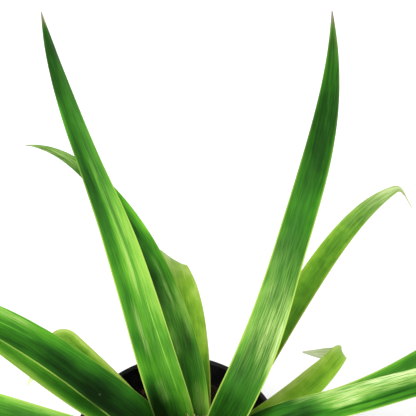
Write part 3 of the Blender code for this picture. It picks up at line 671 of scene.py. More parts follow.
def new_piece(name, points, faces, finish, fields=None, sharp=50):
    """A mesh object with its named point fields."""
    mesh = bpy.data.meshes.new(name)
    mesh.from_pydata(points, [], faces)
    mesh.materials.append(finish)
    for label, values in (fields or {}).items():
        if isinstance(values[0], float):
            mesh.attributes.new(label, "FLOAT", "POINT").data.foreach_set("value", values)
        else:
            flat = [part for value in values for part in value]
            mesh.attributes.new(label, "FLOAT_VECTOR", "POINT").data.foreach_set("vector", flat)
    mesh.shade_smooth()
    mesh.set_sharp_from_angle(angle=radians(sharp))
    piece = bpy.data.objects.new(name, mesh)
    bpy.context.scene.collection.objects.link(piece)
    return piece


def face_outwards(piece):
    form = bmesh.new()
    form.from_mesh(piece.data)
    bmesh.ops.recalc_face_normals(form, faces=form.faces)
    form.to_mesh(piece.data)
    form.free()
    return piece


def lofted(rows):
    """Faces between each closed row of points and the next."""
    faces = []
    for near, far in zip(rows, rows[1:]):
        for i in range(len(near)):
            j = (i + 1) % len(near)
            faces.append((near[i], near[j], far[j], far[i]))
    return faces


def turned(name, profile, steps, finish, centre=(0.0, 0.0), fields=None):
    """A closed profile of (radius, height) turned round Z. Points on the axis are shared."""
    points, rows = [], []
    values = {label: [] for label in fields or {}}
    for index, (radius, height) in enumerate(profile):
        count = 1 if radius == 0.0 else steps
        rows.append([len(points) + i for i in range(count)])
        for i in range(count):
            angle = 2 * pi * i / steps
            points.append((centre[0] + radius * cos(angle), centre[1] + radius * sin(angle),
                           height))
            for label in values:
                values[label].append(float(fields[label][index]))
    faces = []
    for near, far in zip(rows, rows[1:]):
        for i in range(steps):
            j = (i + 1) % steps
            corners = [near[i % len(near)], near[j % len(near)], far[j % len(far)],
                       far[i % len(far)]]
            face = [c for k, c in enumerate(corners) if c != corners[k - 1]]
            if len(face) > 2:
                faces.append(face)
    return face_outwards(new_piece(name, points, faces, finish, values, 40))


def dress(piece, slot, *nodes):
    """The piece rides with the plant, in place of CAD nodes. slot is not used."""
    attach(piece, "root")
    if nodes:
        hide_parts(*nodes)
    return piece


def grown(name, host, tree, **values):
    """The plain mesh that a node tree makes on a host object. The tree's inputs are given
    by their names, and written by the sockets' identifiers."""
    modifier = host.modifiers.new(name, "NODES")
    modifier.node_group = tree
    sockets = {item.name: item.identifier for item in tree.interface.items_tree
               if item.in_out == "INPUT"}
    for label, value in values.items():
        modifier[sockets[label.replace("_", " ")]] = value
    graph = bpy.context.evaluated_depsgraph_get()
    mesh = bpy.data.meshes.new_from_object(host.evaluated_get(graph))
    host.modifiers.remove(modifier)
    mesh.name = name
    piece = bpy.data.objects.new(name, mesh)
    bpy.context.scene.collection.objects.link(piece)
    return piece


def discard(*items):
    for item in items:
        bpy.data.objects.remove(item, do_unlink=True)


# Trees that repeat a small form

def new_tree(name, **inputs):
    return new_group(name, ("Geometry",), "Geometry", "GeometryNodeTree", Geometry="Geometry",
                     **inputs)


def finish_tree(tree, out, geometry, material):
    """Every tree ends the same way: instances made real, and a material."""
    real = add(tree, "GeometryNodeRealizeInstances", {0: geometry})[0]
    done = add(tree, "GeometryNodeSetMaterial", {"Geometry": real, "Material": material})
    plug(done[0], out[0])


def instances(points, item, rotation, scale):
    """An object's mesh on each of the points."""
    form = add(tree_of([points]), "GeometryNodeObjectInfo", {"Object": item})["Geometry"]
    return add(tree_of([points]), "GeometryNodeInstanceOnPoints", {
        "Points": points, "Instance": form, "Rotation": rotation, "Scale": scale})[0]


def drawn_at_random(seed, low, high, **more):
    """A random number from low to high, or a vector where low and high are vectors."""
    kind, first, output = ("FLOAT_VECTOR", 0, 0) if isinstance(low, tuple) else ("FLOAT", 2, 1)
    return add(tree_of([seed]), "FunctionNodeRandomValue",
               {first: low, first + 1: high, "Seed": seed, **more}, data_type=kind)[output]


def scaled(vector, factor):
    return add(tree_of([vector]), "ShaderNodeVectorMath", {0: vector, "Scale": factor},
               operation="SCALE")[0]


def make_scatter_tree():
    """Crumbs strewn over the host's faces, clear of a round patch, each a bit different."""
    tree, given, out = new_tree(
        "strewn_crumbs", Crumb="Object", Density=1000.0, Least=1.0, Most=2.0, Flatness=1.0,
        Roughening=0.0, Clear_Centre="Vector", Clear_Radius=0.0, Reach=1.0, Seed=1,
        Material="Material")
    seed = given["Seed"]
    flat = vectors("MULTIPLY", add(tree, "GeometryNodeInputPosition")[0], (1.0, 1.0, 0.0))
    from_stem = vectors("DISTANCE", flat, given["Clear Centre"], output="Value")
    from_axis = vectors("LENGTH", flat, output="Value")
    up = split(add(tree, "GeometryNodeInputNormal")[0])[2]
    wanted = (maths("GREATER_THAN", from_stem, given["Clear Radius"])
              * maths("LESS_THAN", from_axis, given["Reach"]) * maths("GREATER_THAN", up, 0.4))
    spots = add(tree, "GeometryNodeDistributePointsOnFaces", {
        "Mesh": given["Geometry"], "Density": given["Density"] * wanted, "Seed": seed})["Points"]
    turn = drawn_at_random(seed, (-0.5, -0.5, 0.0), (0.5, 0.5, 2 * pi))
    size = drawn_at_random(seed + 7, given["Least"], given["Most"])
    shape = vectors("MULTIPLY", drawn_at_random(seed + 13, (0.7, 0.7, 0.6), (1.3, 1.3, 1.2)),
                    xyz(1.0, 1.0, given["Flatness"]))
    placed = instances(spots, given["Crumb"], turn, scaled(shape, size))
    real = add(tree, "GeometryNodeRealizeInstances", {0: placed})[0]
    wobble = add(tree, "ShaderNodeTexNoise", {
        "Vector": add(tree, "GeometryNodeInputPosition")[0], "Scale": 700.0, "Detail": 2.0})["Color"]
    offset = scaled(vectors("SUBTRACT", wobble, (0.5, 0.5, 0.5)), given["Roughening"])
    rough = add(tree, "GeometryNodeSetPosition", {"Geometry": real, "Offset": offset})[0]
    finish_tree(tree, out, rough, given["Material"])
    return tree


def make_whorl_tree():
    """Blades round an axis, each a set angle past the last, leaning less as they rise."""
    tree, given, out = new_tree(
        "whorled_blades", Blade="Object", Count=20, Turn=GOLDEN_ANGLE, First=0.0,
        Centre="Vector", Rise=0.0, Low_Radius=0.0, High_Radius=0.0, Low_Lean=1.4, High_Lean=0.0,
        Low_Size=1.0, Belly=0.0, High_Size=1.0, Unevenness=0.1, Seed=1, Material="Material")
    index = add(tree, "GeometryNodeInputIndex")[0]
    share = index / maths("MAXIMUM", given["Count"] - 1.0, 1.0)

    def uneven(offset):
        slack = given["Unevenness"]
        return drawn_at_random(given["Seed"] + offset, slack * -1.0, slack, ID=index)

    def graded(label):
        low, high = given["Low " + label], given["High " + label]
        return share * (high - low) + low

    heading = index * given["Turn"] + (given["First"] + uneven(1))
    radius = graded("Radius")
    spot = xyz(radius * maths("COSINE", heading), radius * maths("SINE", heading),
               share * given["Rise"])
    lean = graded("Lean") + uneven(2)
    size = share * 4.0 * (1.0 - share) * given["Belly"] + graded("Size")
    points = add(tree, "GeometryNodePoints", {
        "Count": given["Count"], "Position": vectors("ADD", spot, given["Centre"])})[0]
    placed = instances(points, given["Blade"], xyz(0.0, lean, heading), size * (uneven(3) + 1.0))
    finish_tree(tree, out, placed, given["Material"])
    return tree


def make_eye_tree():
    """Eyes on a spiral over the host, each turned to the surface, with the host kept."""
    tree, given, out = new_tree(
        "fruit_eyes", Eye="Object", Count=70, Centre="Vector", Low=0.0, High=1.0, Size=1.0,
        Widest=1.0, Material="Material")
    centre = given["Centre"]
    index = add(tree, "GeometryNodeInputIndex")[0]
    share = (index + 0.5) / given["Count"]
    height = share * (given["High"] - given["Low"]) + given["Low"]
    heading = index * GOLDEN_ANGLE
    points = add(tree, "GeometryNodePoints", {
        "Count": given["Count"], "Position": vectors("ADD", centre, xyz(0.0, 0.0, height))})[0]
    hit = add(tree, "GeometryNodeRaycast", {
        "Target Geometry": given["Geometry"],
        "Source Position": add(tree, "GeometryNodeInputPosition")[0],
        "Ray Direction": xyz(maths("COSINE", heading), maths("SINE", heading))})
    spot = hit["Hit Position"]
    moved = add(tree, "GeometryNodeSetPosition", {"Geometry": points, "Position": spot})[0]
    outward = add(tree, "FunctionNodeAlignRotationToVector", {"Vector": hit["Hit Normal"]},
                  axis="Z")[0]
    upright = add(tree, "FunctionNodeAlignRotationToVector",
                  {"Rotation": outward, "Vector": (0.0, 0.0, 1.0)}, axis="Y", pivot_axis="Z")[0]
    level = (1.0, 1.0, 0.0)
    reach = vectors("DISTANCE", vectors("MULTIPLY", spot, level),
                    vectors("MULTIPLY", centre, level), output="Value")
    fuller = maths("POWER", reach / given["Widest"], 0.6)
    joined = add(tree, "GeometryNodeJoinGeometry")
    for shape in (given["Geometry"], instances(moved, given["Eye"], upright, given["Size"] * fuller)):
        plug(shape, joined.node.inputs[0])
    finish_tree(tree, out, joined[0], given["Material"])
    return tree


# Leaves

def smooth_step(value):
    value = min(max(value, 0.0), 1.0)
    return value * value * (3 - 2 * value)


def along(values, share):
    """Smooth curve through evenly spaced values."""
    last = len(values) - 1
    place = min(max(share, 0.0), 1.0) * last
    i = min(int(place), last - 1)
    f = place - i
    b, c = values[i], values[i + 1]
    a = values[i - 1] if i > 0 else 2 * b - c
    d = values[i + 2] if i + 2 <= last else 2 * c - b
    return 0.5 * (2 * b + (c - a) * f + (2 * a - 5 * b + 4 * c - d) * f * f
                  + (3 * b - a - 3 * c + d) * f ** 3)


def through(table, share):
    """Smooth curve through a table of (share, value) points, wherever they stand."""
    last = len(table) - 1
    i = 0
    while i < last - 1 and share > table[i + 1][0]:
        i += 1

    def slope(k):
        (x0, y0), (x1, y1) = table[max(k - 1, 0)], table[min(k + 1, last)]
        return (y1 - y0) / (x1 - x0)

    (x0, y0), (x1, y1) = table[i], table[i + 1]
    f = min(max((share - x0) / (x1 - x0), 0.0), 1.0)
    rise0, rise1 = slope(i) * (x1 - x0), slope(i + 1) * (x1 - x0)
    return (y0 * (1 + 2 * f) * (1 - f) ** 2 + rise0 * f * (1 - f) ** 2
            + y1 * f * f * (3 - 2 * f) + rise1 * f * f * (f - 1))


def ring_radius(ring):
    return RING_INNER_RADIUS + RING_PITCH * ring


def ledge_height(ring):
    return LEDGE_TOP - LEDGE_DROP * ring


def leaf_angles(leaf, distance):
    """Lean and heading of a leaf's spine, in radians, at a distance from its foot."""
    bend = leaf["bend"]
    end = (bend[0] if bend else leaf["length"]) * MM
    lean = along((0, *leaf["lean"]), distance / end)
    heading = along(leaf["heading"], distance / end)
    if bend:
        past = smooth_step((distance / MM - bend[0] + bend[3] / 2) / bend[3])
        lean += (bend[1] - lean) * past
        heading += (bend[2] - heading) * past
    return radians(lean), radians(heading)


def spine_points(leaf, distances):
    """Places of the given distances along a leaf's spine."""
    heading = radians(leaf["heading"][0])
    radius = ring_radius(leaf["ring"])
    place = Vector((*AXIS, ledge_height(leaf["ring"]) + GAP))
    place += radius * Vector((cos(heading), sin(heading), 0.0))
    points = []
    here = 0.0
    for distance in distances:
        steps = max(1, round((distance - here) / SPINE_STEP))
        part = (distance - here) / steps
        for index in range(steps):
            lean, heading = leaf_angles(leaf, here + (index + 0.5) * part)
            place = place + part * Vector((sin(lean) * cos(heading), sin(lean) * sin(heading),
                                           cos(lean)))
        here = distance
        points.append(place)
    return points


def blade_distances(leaf):
    """Distances of the sections, closer where an old leaf has buckled."""
    length = leaf["length"] * MM
    count = round(length / STATION_PITCH)
    places = [length * i / count for i in range(count + 1)]
    bend = leaf["bend"]
    if bend:
        centre, reach = bend[0] * MM, bend[3] * MM
        places = [place for place in places if abs(place - centre) > 0.8 * reach]
        places += [centre + reach * (i / 8 - 0.75) for i in range(13)]
    return sorted(places)


def blade_strips(crease):
    """Places across a blade, margin to margin, closer at the crease and the margins."""
    strips = [-1.0, -0.97, -0.9, 0.9, 0.97, 1.0]
    strips += [i / 10 for i in range(-8, 9)]
    strips = [strip for strip in strips if abs(strip - crease) > 0.05]
    strips += [crease + offset for offset in (-0.06, -0.025, 0.0, 0.025, 0.06)]
    return sorted(strips)


def blade_section(leaf, distance, place, strips):
    """For each strip its place on the middle surface, its normal and its thickness."""
    share = distance / (leaf["length"] * MM)
    lean, heading = leaf_angles(leaf, distance)
    up = Vector((-cos(lean) * cos(heading), -cos(lean) * sin(heading), sin(lean)))
    side = Vector((-sin(heading), cos(heading), 0.0))
    roll = radians(along((0, *leaf["roll"]), share))
    side, up = side * cos(roll) + up * sin(roll), up * cos(roll) - side * sin(roll)
    taper = leaf["taper"]
    full = leaf["half_width"] * MM
    half = max(full * through(taper, share), LEAST_HALF_WIDTH)
    opened = smooth_step(distance / SHEATH_LENGTH)
    cup = radians(CUP_DEGREES)
    bend = leaf["bend"]
    if bend:
        away = smooth_step(abs(distance - bend[0] * MM) / BUCKLE_REACH)
        cup *= BUCKLED_CUP + (1 - BUCKLED_CUP) * away
    clasp = full * taper[0][1] / ring_radius(leaf["ring"])
    angle = clasp * (1 - opened) + cup * opened
    radius = half / angle
    fold = leaf["fold"] * opened
    crease = leaf["crease"]
    middle = FOOT_THICKNESS + (TIP_THICKNESS - FOOT_THICKNESS) * share
    seed = int(leaf["name"][-2:])
    section = []
    for strip in strips:
        turn = strip * angle
        arc = Vector((radius * sin(turn), radius * (1 - cos(turn))))
        end = 1.0 if strip >= crease else -1.0
        reach = (strip - crease) / (end - crease)
        valley = Vector((radius * sin(crease * angle), radius * (1 - cos(crease * angle))
                         - CREASE_DEPTH * half * angle))
        margin = Vector((radius * sin(end * angle), radius * (1 - cos(end * angle))))
        vee = valley.lerp(margin, reach)
        x, y = arc.lerp(vee, fold)
        ripple = noise.noise(Vector((distance * RIPPLES_ALONG, strip * RIPPLES_ACROSS,
                                     seed * 3.7)))
        y += RIPPLE_HEIGHT * ripple * strip * strip * opened
        from_crease = (strip - crease) * half / CREASE_LINE_WIDTH
        y += CREASE_LINE_HEIGHT * fold * exp(-from_crease ** 2)
        normal_turn = turn * (1 - fold) + fold * angle * 0.5 * end * min(1.0, abs(reach) * 6)
        normal = up * cos(normal_turn) - side * sin(normal_turn)
        thick = MARGIN_THICKNESS + (middle - MARGIN_THICKNESS) * (1 - strip ** 2)
        section.append((place + side * x + up * y, normal, thick))
    return section, half, side


def from_vein(leaf, share, strip, half):
    """Millimetres to a blade's pale vein, drawn out past its ends so that it thins away."""
    line = leaf["line"]
    if not line:
        return NO_VEIN
    past = smooth_step((line[0][0] - share) / 0.08) + smooth_step((share - line[-1][0]) / 0.08)
    return (strip - through(line, share)) * half / MM * (1 + 12 * past)


def streaked(leaf, share, strip, half):
    """What a blade's streaks add to its tone and to its pale scurf at one place, painted shade
    and painted highlights among them.
    """
    lighter = paler = 0.0
    for start, end, near, far, width, tone, scurf_and_highlight in leaf["streaks"]:
        part = (share - start) / (end - start)
        away = (strip - near - (far - near) * part) * half / MM / width
        weight = smooth_step(part / 0.3) * smooth_step((1 - part) / 0.3) * exp(-away * away)
        lighter += tone * weight
        paler += scurf_and_highlight * weight
    return lighter, paler


def note(fields, *values):
    """One point's values, in the order of BLADE_FIELDS."""
    for label, value in zip(BLADE_FIELDS, values):
        fields[label].append(value)


def make_blade(leaf, finish):
    """A leaf lofted along its spine: upper skin, lower skin, and a rounded margin."""
    length = leaf["length"] * MM
    strips = blade_strips(leaf["crease"])
    distances = blade_distances(leaf)
    seed = float(int(leaf["name"][-2:]))
    points, rows = [], []
    fields = {label: [] for label in BLADE_FIELDS}

    def put(spot, strip, distance, half, under):
        points.append(spot)
        across = strip * half / MM
        share = distance / length
        lighter, paler = streaked(leaf, share, strip, half)
        tone = through(leaf["run"], share) + lighter
        tone += through(leaf["bands"], strip) * through(leaf["swell"], share)
        scurf_and_highlight = through(leaf["scurf_and_highlight"], share) * through(leaf["scurf_and_highlight_bands"], strip) + paler
        note(fields, (across, distance / MM, seed * 17.3),
             (1 - abs(strip)) * half / MM + leaf["dull"][strip > 0], (length - distance) / MM,
             from_vein(leaf, share, strip, half), tone, scurf_and_highlight, float(under))
        return len(points) - 1

    for distance, place in zip(distances, spine_points(leaf, distances)):
        section, half, side = blade_section(leaf, distance, place, strips)
        loop = []
        for strip, (spot, normal, thick) in zip(strips, section):
            loop.append(put(spot + normal * thick / 2, strip, distance, half, 0))
        spot, _, thick = section[-1]
        loop.append(put(spot + side * thick / 2, 1.0, distance, half, 0.5))
        for strip, (spot, normal, thick) in zip(reversed(strips), reversed(section)):
            loop.append(put(spot - normal * thick / 2, strip, distance, half, 1))
        spot, _, thick = section[0]
        loop.append(put(spot - side * thick / 2, -1.0, distance, half, 0.5))
        rows.append(loop)
    faces = lofted(rows)
    last = len(strips)
    for loop, turned_over in ((rows[0], True), (rows[-1], False)):
        upper, lower = loop[:last], loop[last + 1:-1][::-1]
        for i in range(last - 1):
            face = (upper[i], upper[i + 1], lower[i + 1], lower[i])
            faces.append(face[::-1] if turned_over else face)
        for a, b, c in ((upper[-1], loop[last], lower[-1]), (lower[0], loop[-1], upper[0])):
            faces.append((c, b, a) if turned_over else (a, b, c))
    return face_outwards(new_piece(leaf["name"] + "_blade", points, faces, finish, fields, 60))


def make_leaves():
    for leaf in LEAVES:
        slot, finish = "leaf_green", GREEN_LEAF
        if leaf["name"] in OLD_LEAVES:
            slot, finish = "leaf_old", OLD_LEAF
        if leaf["name"] in YOUNG_LEAVES:
            slot, finish = "leaf_young", YOUNG_LEAF
        dress(make_blade(leaf, finish), slot, leaf["name"])


# A small blade that the whorls repeat: one unit long, standing, its channel towards -X

def make_small_blade(name, width, cup, bow, finish, stations=9, tip_power=0.8):
    strips = (-1.0, -0.5, 0.0, 0.5, 1.0)
    points, rows = [], []
    fields = {label: [] for label in BLADE_FIELDS}
    for i in range(stations + 1):
        share = i / stations
        half = width / 2 * max((1 - share ** 1.7) ** tip_power, 0.02)
        half *= 0.8 + 0.2 * sin(pi * share)
        for under in (0, 1):
            for strip in strips[::-1] if under else strips:
                shift = SMALL_BLADE_THICKNESS * (1 - 0.6 * share) * (1 - 0.7 * strip * strip)
                shift *= 1 if under else -1
                points.append((bow * share ** 2 - cup * half * strip * strip + shift / 2,
                               half * strip, share))
                note(fields, (strip * 2.0, share * 17.0, 3.0), (1 - abs(strip)) * 2.0,
                     (1 - share) * 70.0 + 3.0, NO_VEIN,
                     0.7 * share ** 2 + 0.25 + 0.15 * strip * strip, 0.2 + 0.3 * share,
                     float(under))
        rows.append(range(len(points) - 2 * len(strips), len(points)))
    faces = lofted(rows) + [tuple(rows[0][::-1]), tuple(rows[-1])]
    return face_outwards(new_piece(name, points, faces, finish, fields, 60))


def make_crown(tree, host):
    blade = make_small_blade("crown_blade", 0.30, 0.55, 0.16, CROWN_LEAF)
    base = STALK_TOP + FRUIT_HEIGHT + 2 * GAP
    crown = grown("crown_leaves", host, tree, Blade=blade, Count=46,
                  Centre=(*AXIS, base + 0.6 * MM), Rise=5.4 * MM,
                  Low_Radius=3.0 * MM, High_Radius=0.2 * MM, Low_Lean=radians(84),
                  High_Lean=radians(2), Low_Size=0.0105, Belly=0.0035, High_Size=0.0135,
                  Unevenness=0.09, Seed=4, Material=CROWN_LEAF)
    heart = turned("crown_heart", ((0.0, base + 7 * MM), (1.2 * MM, base + 6 * MM),
                                   (3.0 * MM, base + 2 * MM), (3.4 * MM, base), (0.0, base)),
                   32, STEM_SKIN, AXIS)
    discard(blade)
    dress(crown, "crown_green", "crown")
    dress(heart, "crown_green")


def make_bracts(tree, host):
    blade = make_small_blade("bract_blade", 0.62, 0.5, 0.10, BRACT_SKIN, 8, 0.7)
    bracts = grown("fruit_bracts", host, tree, Blade=blade, Count=15,
                   Centre=(*AXIS, BRACT_SHOULDER + 1.0 * MM), Rise=3.0 * MM,
                   Low_Radius=5.2 * MM, High_Radius=4.7 * MM, Low_Lean=radians(72),
                   High_Lean=radians(46), Low_Size=0.0090, Belly=0.0, High_Size=0.0080,
                   Unevenness=0.08, Seed=9, Material=BRACT_SKIN)
    discard(blade)
    dress(bracts, "bract_pink", "bracts")


def fruit_profile(rows):
    base = STALK_TOP + GAP
    profile = [(0.0, base + FRUIT_HEIGHT)]
    for row in range(rows + 1):
        share = row / rows
        swell = max(0.0, sin(pi * share ** FRUIT_BELLY)) ** FRUIT_FULLNESS
        ends = FRUIT_TOP_RADIUS + (FRUIT_FOOT_RADIUS - FRUIT_TOP_RADIUS) * share
        radius = ends + (FRUIT_RADIUS - ends) * swell
        profile.append((radius, base + FRUIT_HEIGHT * (1 - share)))
    profile.append((0.0, base))
    return profile


def make_eye():
    """One fruitlet, one unit across: a low six-sided dome and the scale that lies over it."""
    points = [(0.0, 0.0, 0.30)]
    raised, scale = [1.0], [0.0]
    rings = ((0.22, 0.33), (0.5, 0.34), (0.78, 0.24), (0.96, 0.08), (1.02, -0.18))
    sides = 18
    for reach, height in rings:
        for i in range(sides):
            angle = 2 * pi * i / sides
            hexagon = 1 / max(cos((angle % (pi / 3)) - pi / 6), 0.87)
            spread = 0.5 * reach * (0.35 + 0.65 * hexagon)
            points.append((spread * cos(angle), spread * sin(angle) * 0.92, height * 0.6))
            raised.append(max(0.0, 1 - reach * 0.9))
            scale.append(0.0)
    faces = [(0, 1 + i, 1 + (i + 1) % sides) for i in range(sides)]
    rows = [range(start, start + sides) for start in range(1, len(points), sides)]
    faces += lofted(rows) + [tuple(rows[-1][::-1])]
    first = len(points)
    stations = 6
    for i in range(stations + 1):
        share = i / stations
        half = 0.26 * (1 - share) ** 0.8 + 0.004
        y = -0.40 + 0.62 * share
        z = 0.07 + 0.26 * sin(min(share * 1.35, 1.0) * pi / 2) + 0.10 * share ** 3
        for x, lift in ((-half, -0.02), (0.0, 0.05), (half, -0.02), (0.0, -0.05)):
            points.append((x, y, z + lift))
            raised.append(0.9)
            scale.append(0.05 + 0.95 * share)
    rows = [range(start, start + 4) for start in range(first, len(points), 4)]
    faces += lofted(rows) + [tuple(rows[0]), tuple(rows[-1])]
    return face_outwards(new_piece("eye", points, faces, FRUIT_SKIN,
                                   {"raised": raised, "scale_share": scale}, 60))


def make_fruit():
    profile = fruit_profile(30)
    flat = [0.0] * len(profile)
    body = turned("fruit_body", profile, 72, FRUIT_SKIN, AXIS,
                  {"raised": flat, "scale_share": flat})
    eye = make_eye()
    low = STALK_TOP + GAP
    fruit = grown("young_fruit", body, make_eye_tree(), Eye=eye, Count=EYE_COUNT,
                  Centre=(*AXIS, 0.0), Low=low + 0.4 * MM,
                  High=low + FRUIT_HEIGHT - 0.3 * MM, Size=EYE_SIZE, Widest=FRUIT_RADIUS,
                  Material=FRUIT_SKIN)
    discard(eye, body)
    dress(fruit, "fruit_red", "fruit")


# Stem and the old scales round it

def make_stem(tree, host):
    profile = [(0.0, STALK_TOP), (STALK_RADIUS, STALK_TOP), (STALK_RADIUS, BRACT_SHOULDER),
               (STALK_RADIUS + 1.8 * MM, BRACT_SHOULDER),
               (STALK_RADIUS, BRACT_SHOULDER - 5 * MM), (STALK_RADIUS, LEDGE_TOP + 6 * MM),
               (COLLAR_RADIUS, LEDGE_TOP + 2 * MM), (COLLAR_RADIUS, LEDGE_TOP)]
    for ring in range(RING_COUNT):
        edge = ring_radius(ring) + LEDGE_LIP
        lower = ledge_height(ring + 1) if ring + 1 < RING_COUNT else STEM_BOTTOM
        profile += [(edge - 0.3 * MM, ledge_height(ring)), (edge, ledge_height(ring) - 0.3 * MM),
                    (edge, lower)]
    profile.append((0.0, STEM_BOTTOM))
    stem = turned("stem_body", profile, 96, STEM_SKIN, AXIS)
    dress(stem, "stem_green", "stem")
    scale = make_small_blade("scale_blade", 0.95, 0.35, 0.10, OLD_LEAF, 8, 0.55)
    for ring in range(RING_COUNT):
        radius = ring_radius(ring) + RING_PITCH / 2
        count = round(2 * pi * radius / SCALE_PITCH)
        scales = grown("stem_scales_%d" % (ring + 1), host, tree, Blade=scale, Count=count,
                       Turn=2 * pi / count, First=0.7 * ring,
                       Centre=(*AXIS, ledge_height(ring) - 0.8 * MM), Rise=0.0,
                       Low_Radius=radius, High_Radius=radius, Low_Lean=radians(7),
                       High_Lean=radians(7), Low_Size=SCALE_SIZE, Belly=0.0,
                       High_Size=SCALE_SIZE, Unevenness=0.10, Seed=20 + ring, Material=OLD_LEAF)
        dress(scales, "stem_green")
    discard(scale)


# Pot

def beside(radius, height, *offsets):
    """Places on a profile, offset in millimetres from one of them."""
    return [(radius + out * MM, height + up * MM) for out, up in offsets]


def wall_radius(height):
    top_radius = POT_RIM_RADIUS - LIP_STAND - POT_WALL / 2
    return POT_BASE_RADIUS + (top_radius - POT_BASE_RADIUS) * height / POT_HEIGHT


def inner_radius(height):
    low = POT_BASE_RADIUS - POT_WALL
    high = POT_RIM_RADIUS - LIP_STAND - 1.3 * POT_WALL
    return low + (high - low) * height / POT_HEIGHT


def make_pot():
    """Moulded pot: rolled lip, two fine beads on the wall, a recessed foot and drain holes."""
    lip_low = POT_HEIGHT - LIP_DEPTH
    mouth = inner_radius(POT_HEIGHT)
    inside = [(0.0, POT_FLOOR)]
    inside += beside(inner_radius(POT_FLOOR), POT_FLOOR, (-1.2, 0), (-0.3, 0.3), (0, 1.2))
    inside += [(inner_radius(height * MM), height * MM) for height in (20, 40, 60, 80, 100, 112)]
    inside += beside(mouth, POT_HEIGHT, (-0.2, -2.0))
    rim = beside(mouth, POT_HEIGHT, (0.1, -0.9), (0.5, -0.3), (1.1, 0))
    rim += beside(POT_RIM_RADIUS, POT_HEIGHT, (-0.9, 0), (-0.3, -0.25), (0, -0.9), (-0.1, -4))
    rim += beside(POT_RIM_RADIUS, lip_low, (0, 0.9), (-0.25, 0.25), (-0.9, 0))
    rim += beside(wall_radius(lip_low), lip_low, (0.3, -0.1), (0, -0.6))
    wall = []
    for bead in (0.097, 0.093, 0.020):
        for up, out in ((0.9, 0.0), (0.45, 0.28), (0.0, 0.38), (-0.45, 0.28), (-0.9, 0.0)):
            wall += beside(wall_radius(bead + up * MM), bead, (out, up))
    foot = beside(wall_radius(2.4 * MM), 0.0, (0, 2.4))
    foot += beside(wall_radius(0.0), 0.0, (-0.3, 1.2), (-0.9, 0.4), (-2, 0), (-5, 0), (-5.6, 0.8))
    foot.append((0.0, 0.8 * MM))
    profile = inside + rim + wall + foot
    inner = [1.0] * len(inside) + [0.0] * (len(profile) - len(inside))
    pot = turned("pot_moulding", profile, POT_STEPS, BLACK_PLASTIC, fields={"inside": inner})
    cutters = []
    for index in range(DRAIN_HOLES):
        angle = 2 * pi * index / DRAIN_HOLES
        centre = (DRAIN_CIRCLE_RADIUS * cos(angle), DRAIN_CIRCLE_RADIUS * sin(angle))
        cutters.append(turned("drain", ((0.0, 6 * MM), (DRAIN_HOLE_RADIUS, 6 * MM),
                                        (DRAIN_HOLE_RADIUS, -6 * MM), (0.0, -6 * MM)), 24,
                              BLACK_PLASTIC, centre, {"inside": [0.0] * 4}))
    holes = bpy.data.collections.new("drain_holes")
    bpy.context.scene.collection.children.link(holes)
    for cutter in cutters:
        bpy.context.scene.collection.objects.unlink(cutter)
        holes.objects.link(cutter)
    cut = pot.modifiers.new("drain_holes", "BOOLEAN")
    cut.operand_type = "COLLECTION"
    cut.collection = holes
    graph = bpy.context.evaluated_depsgraph_get()
    mesh = bpy.data.meshes.new_from_object(pot.evaluated_get(graph))
    pot.modifiers.clear()
    pot.data = mesh
    discard(*cutters)
    bpy.data.collections.remove(holes)
    dress(pot, "pot_black", "pot")


# Soil

def soil_height(x, y):
    """How far the peat's soft lumps rise over its level at one place."""
    spot = Vector((x, y, 0.3))
    lumps = ((1.0, 90.0), (0.5, 240.0), (0.28, 620.0), (0.12, 1500.0))
    return SOIL_LUMP * sum(height * noise.noise(spot * fine) for height, fine in lumps)


def make_soil():
    edge = inner_radius(SOIL_TOP) - 2 * GAP
    points = [Vector((0.0, 0.0, SOIL_TOP))]
    for ring in range(1, SOIL_RINGS + 1):
        radius = edge * ring / SOIL_RINGS
        for i in range(SOIL_STEPS):
            angle = 2 * pi * (i + 0.5 * (ring % 2)) / SOIL_STEPS
            x, y = radius * cos(angle), radius * sin(angle)
            fade = 1 - 0.6 * (radius / edge) ** 6
            points.append(Vector((x, y, SOIL_TOP + soil_height(x, y) * fade)))
    faces = [(0, 1 + i, 1 + (i + 1) % SOIL_STEPS) for i in range(SOIL_STEPS)]
    skirt = ((SOIL_TOP - 3.5 * MM, 1.0), (0.006, 1.0), (POT_FLOOR + GAP, 0.97))
    for height, share in skirt:
        radius = (inner_radius(height) - 2 * GAP) * share
        for i in range(SOIL_STEPS):
            angle = 2 * pi * i / SOIL_STEPS
            points.append(Vector((radius * cos(angle), radius * sin(angle), height)))
    rows = [range(start, start + SOIL_STEPS) for start in range(1, len(points), SOIL_STEPS)]
    faces += lofted(rows) + [tuple(rows[-1][::-1])]
    soil = face_outwards(new_piece("peat_bed", points, faces, PEAT))
    dress(soil, "soil_dark", "soil")
    return soil


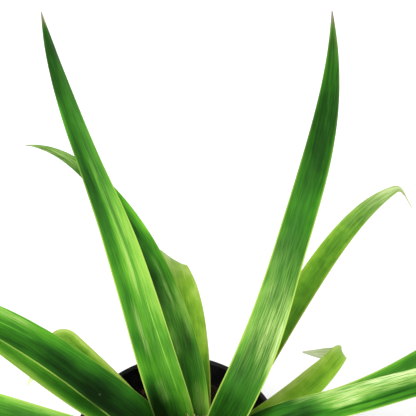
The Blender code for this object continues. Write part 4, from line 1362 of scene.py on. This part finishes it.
def make_crumbs(soil):
    scatter = make_scatter_tree()
    stem_edge = ring_radius(RING_COUNT - 1) + LEDGE_LIP
    reach = inner_radius(SOIL_TOP) - 2.2 * MM
    for name, finish, density, least, most, flatness, rough, detail, seed in (
            ("peat_crumbs", CRUMBS, 190000.0, 0.45, 1.5, 0.8, 0.0009, 1, 3),
            ("bark_pieces", BARK, 14000.0, 1.3, 3.6, 0.35, 0.0022, 2, 8)):
        bpy.ops.mesh.primitive_ico_sphere_add(subdivisions=detail, radius=MM / 1.2)
        crumb = bpy.context.object
        crumb.data.shade_smooth()
        strewn = grown(name, soil, scatter, Crumb=crumb, Density=density, Least=least,
                       Most=most, Flatness=flatness, Roughening=rough,
                       Clear_Centre=(*AXIS, 0.0),
                       Clear_Radius=stem_edge + most * MM, Reach=reach - most * MM, Seed=seed,
                       Material=finish)
        strewn.data.shade_smooth()
        strewn.data.set_sharp_from_angle(angle=radians(35))
        discard(crumb)
        dress(strewn, "soil_dark")


# Studio

def make_floor():
    finish = new_finish("pale_floor", Base_Color=(0.93, 0.93, 0.93), Roughness=0.75)[0]
    sides = ((-1, -1), (1, -1), (1, 1), (-1, 1))
    corners = [(x * FLOOR_REACH, y * FLOOR_REACH, 0.0) for x, y in sides]
    floor = new_piece("floor", corners, [(0, 1, 2, 3)], finish)


def add_softbox(name, place, width, height, power, glossy):
    light = bpy.data.lights.new(name, "AREA")
    light.shape = "RECTANGLE"
    light.size = width
    light.size_y = height
    light.energy = power
    lamp = bpy.data.objects.new(name, light)
    lamp.location = place
    lamp.rotation_euler = (Vector(LIT_POINT) - Vector(place)).to_track_quat("-Z", "Y").to_euler()
    lamp.visible_glossy = glossy
    bpy.context.scene.collection.objects.link(lamp)


def make_studio():
    scene = bpy.context.scene
    make_floor()
    add_softbox("overhead", (0.15, 0.25, 2.1), 2.0, 2.0, 46.0, False)
    add_softbox("key_left", (-1.35, -0.45, 1.65), 0.8, 0.8, 36.0, False)
    add_softbox("front_window", (-0.75, -1.85, 0.95), 1.8, 0.45, 9.0, True)
    world = bpy.data.worlds.new("studio")
    world.use_nodes = True
    connect(world.node_tree.nodes["Background"], Color=(1.0, 1.0, 1.0), Strength=0.24)
    scene.world = world
    scene.view_settings.view_transform = "Standard"
    camera = bpy.data.cameras.new("camera")
    camera.sensor_width = SENSOR_MM
    camera.lens = SENSOR_MM * FOCAL_PIXELS / FRAME_PIXELS
    camera.clip_start = 0.02
    eye = bpy.data.objects.new("camera", camera)
    eye.location = EYE
    eye.rotation_euler = (radians(EYE_TILT_DEGREES), 0.0, 0.0)
    scene.collection.objects.link(eye)
    scene.camera = eye


def main():
    make_studio()
    make_leaves()
    make_pot()
    soil = make_soil()
    make_crumbs(soil)
    whorls = make_whorl_tree()
    host = new_piece("host", [(0.0, 0.0, 0.0)], [], STEM_SKIN)
    make_stem(whorls, host)
    make_bracts(whorls, host)
    make_crown(whorls, host)
    discard(host)
    make_fruit()


main()
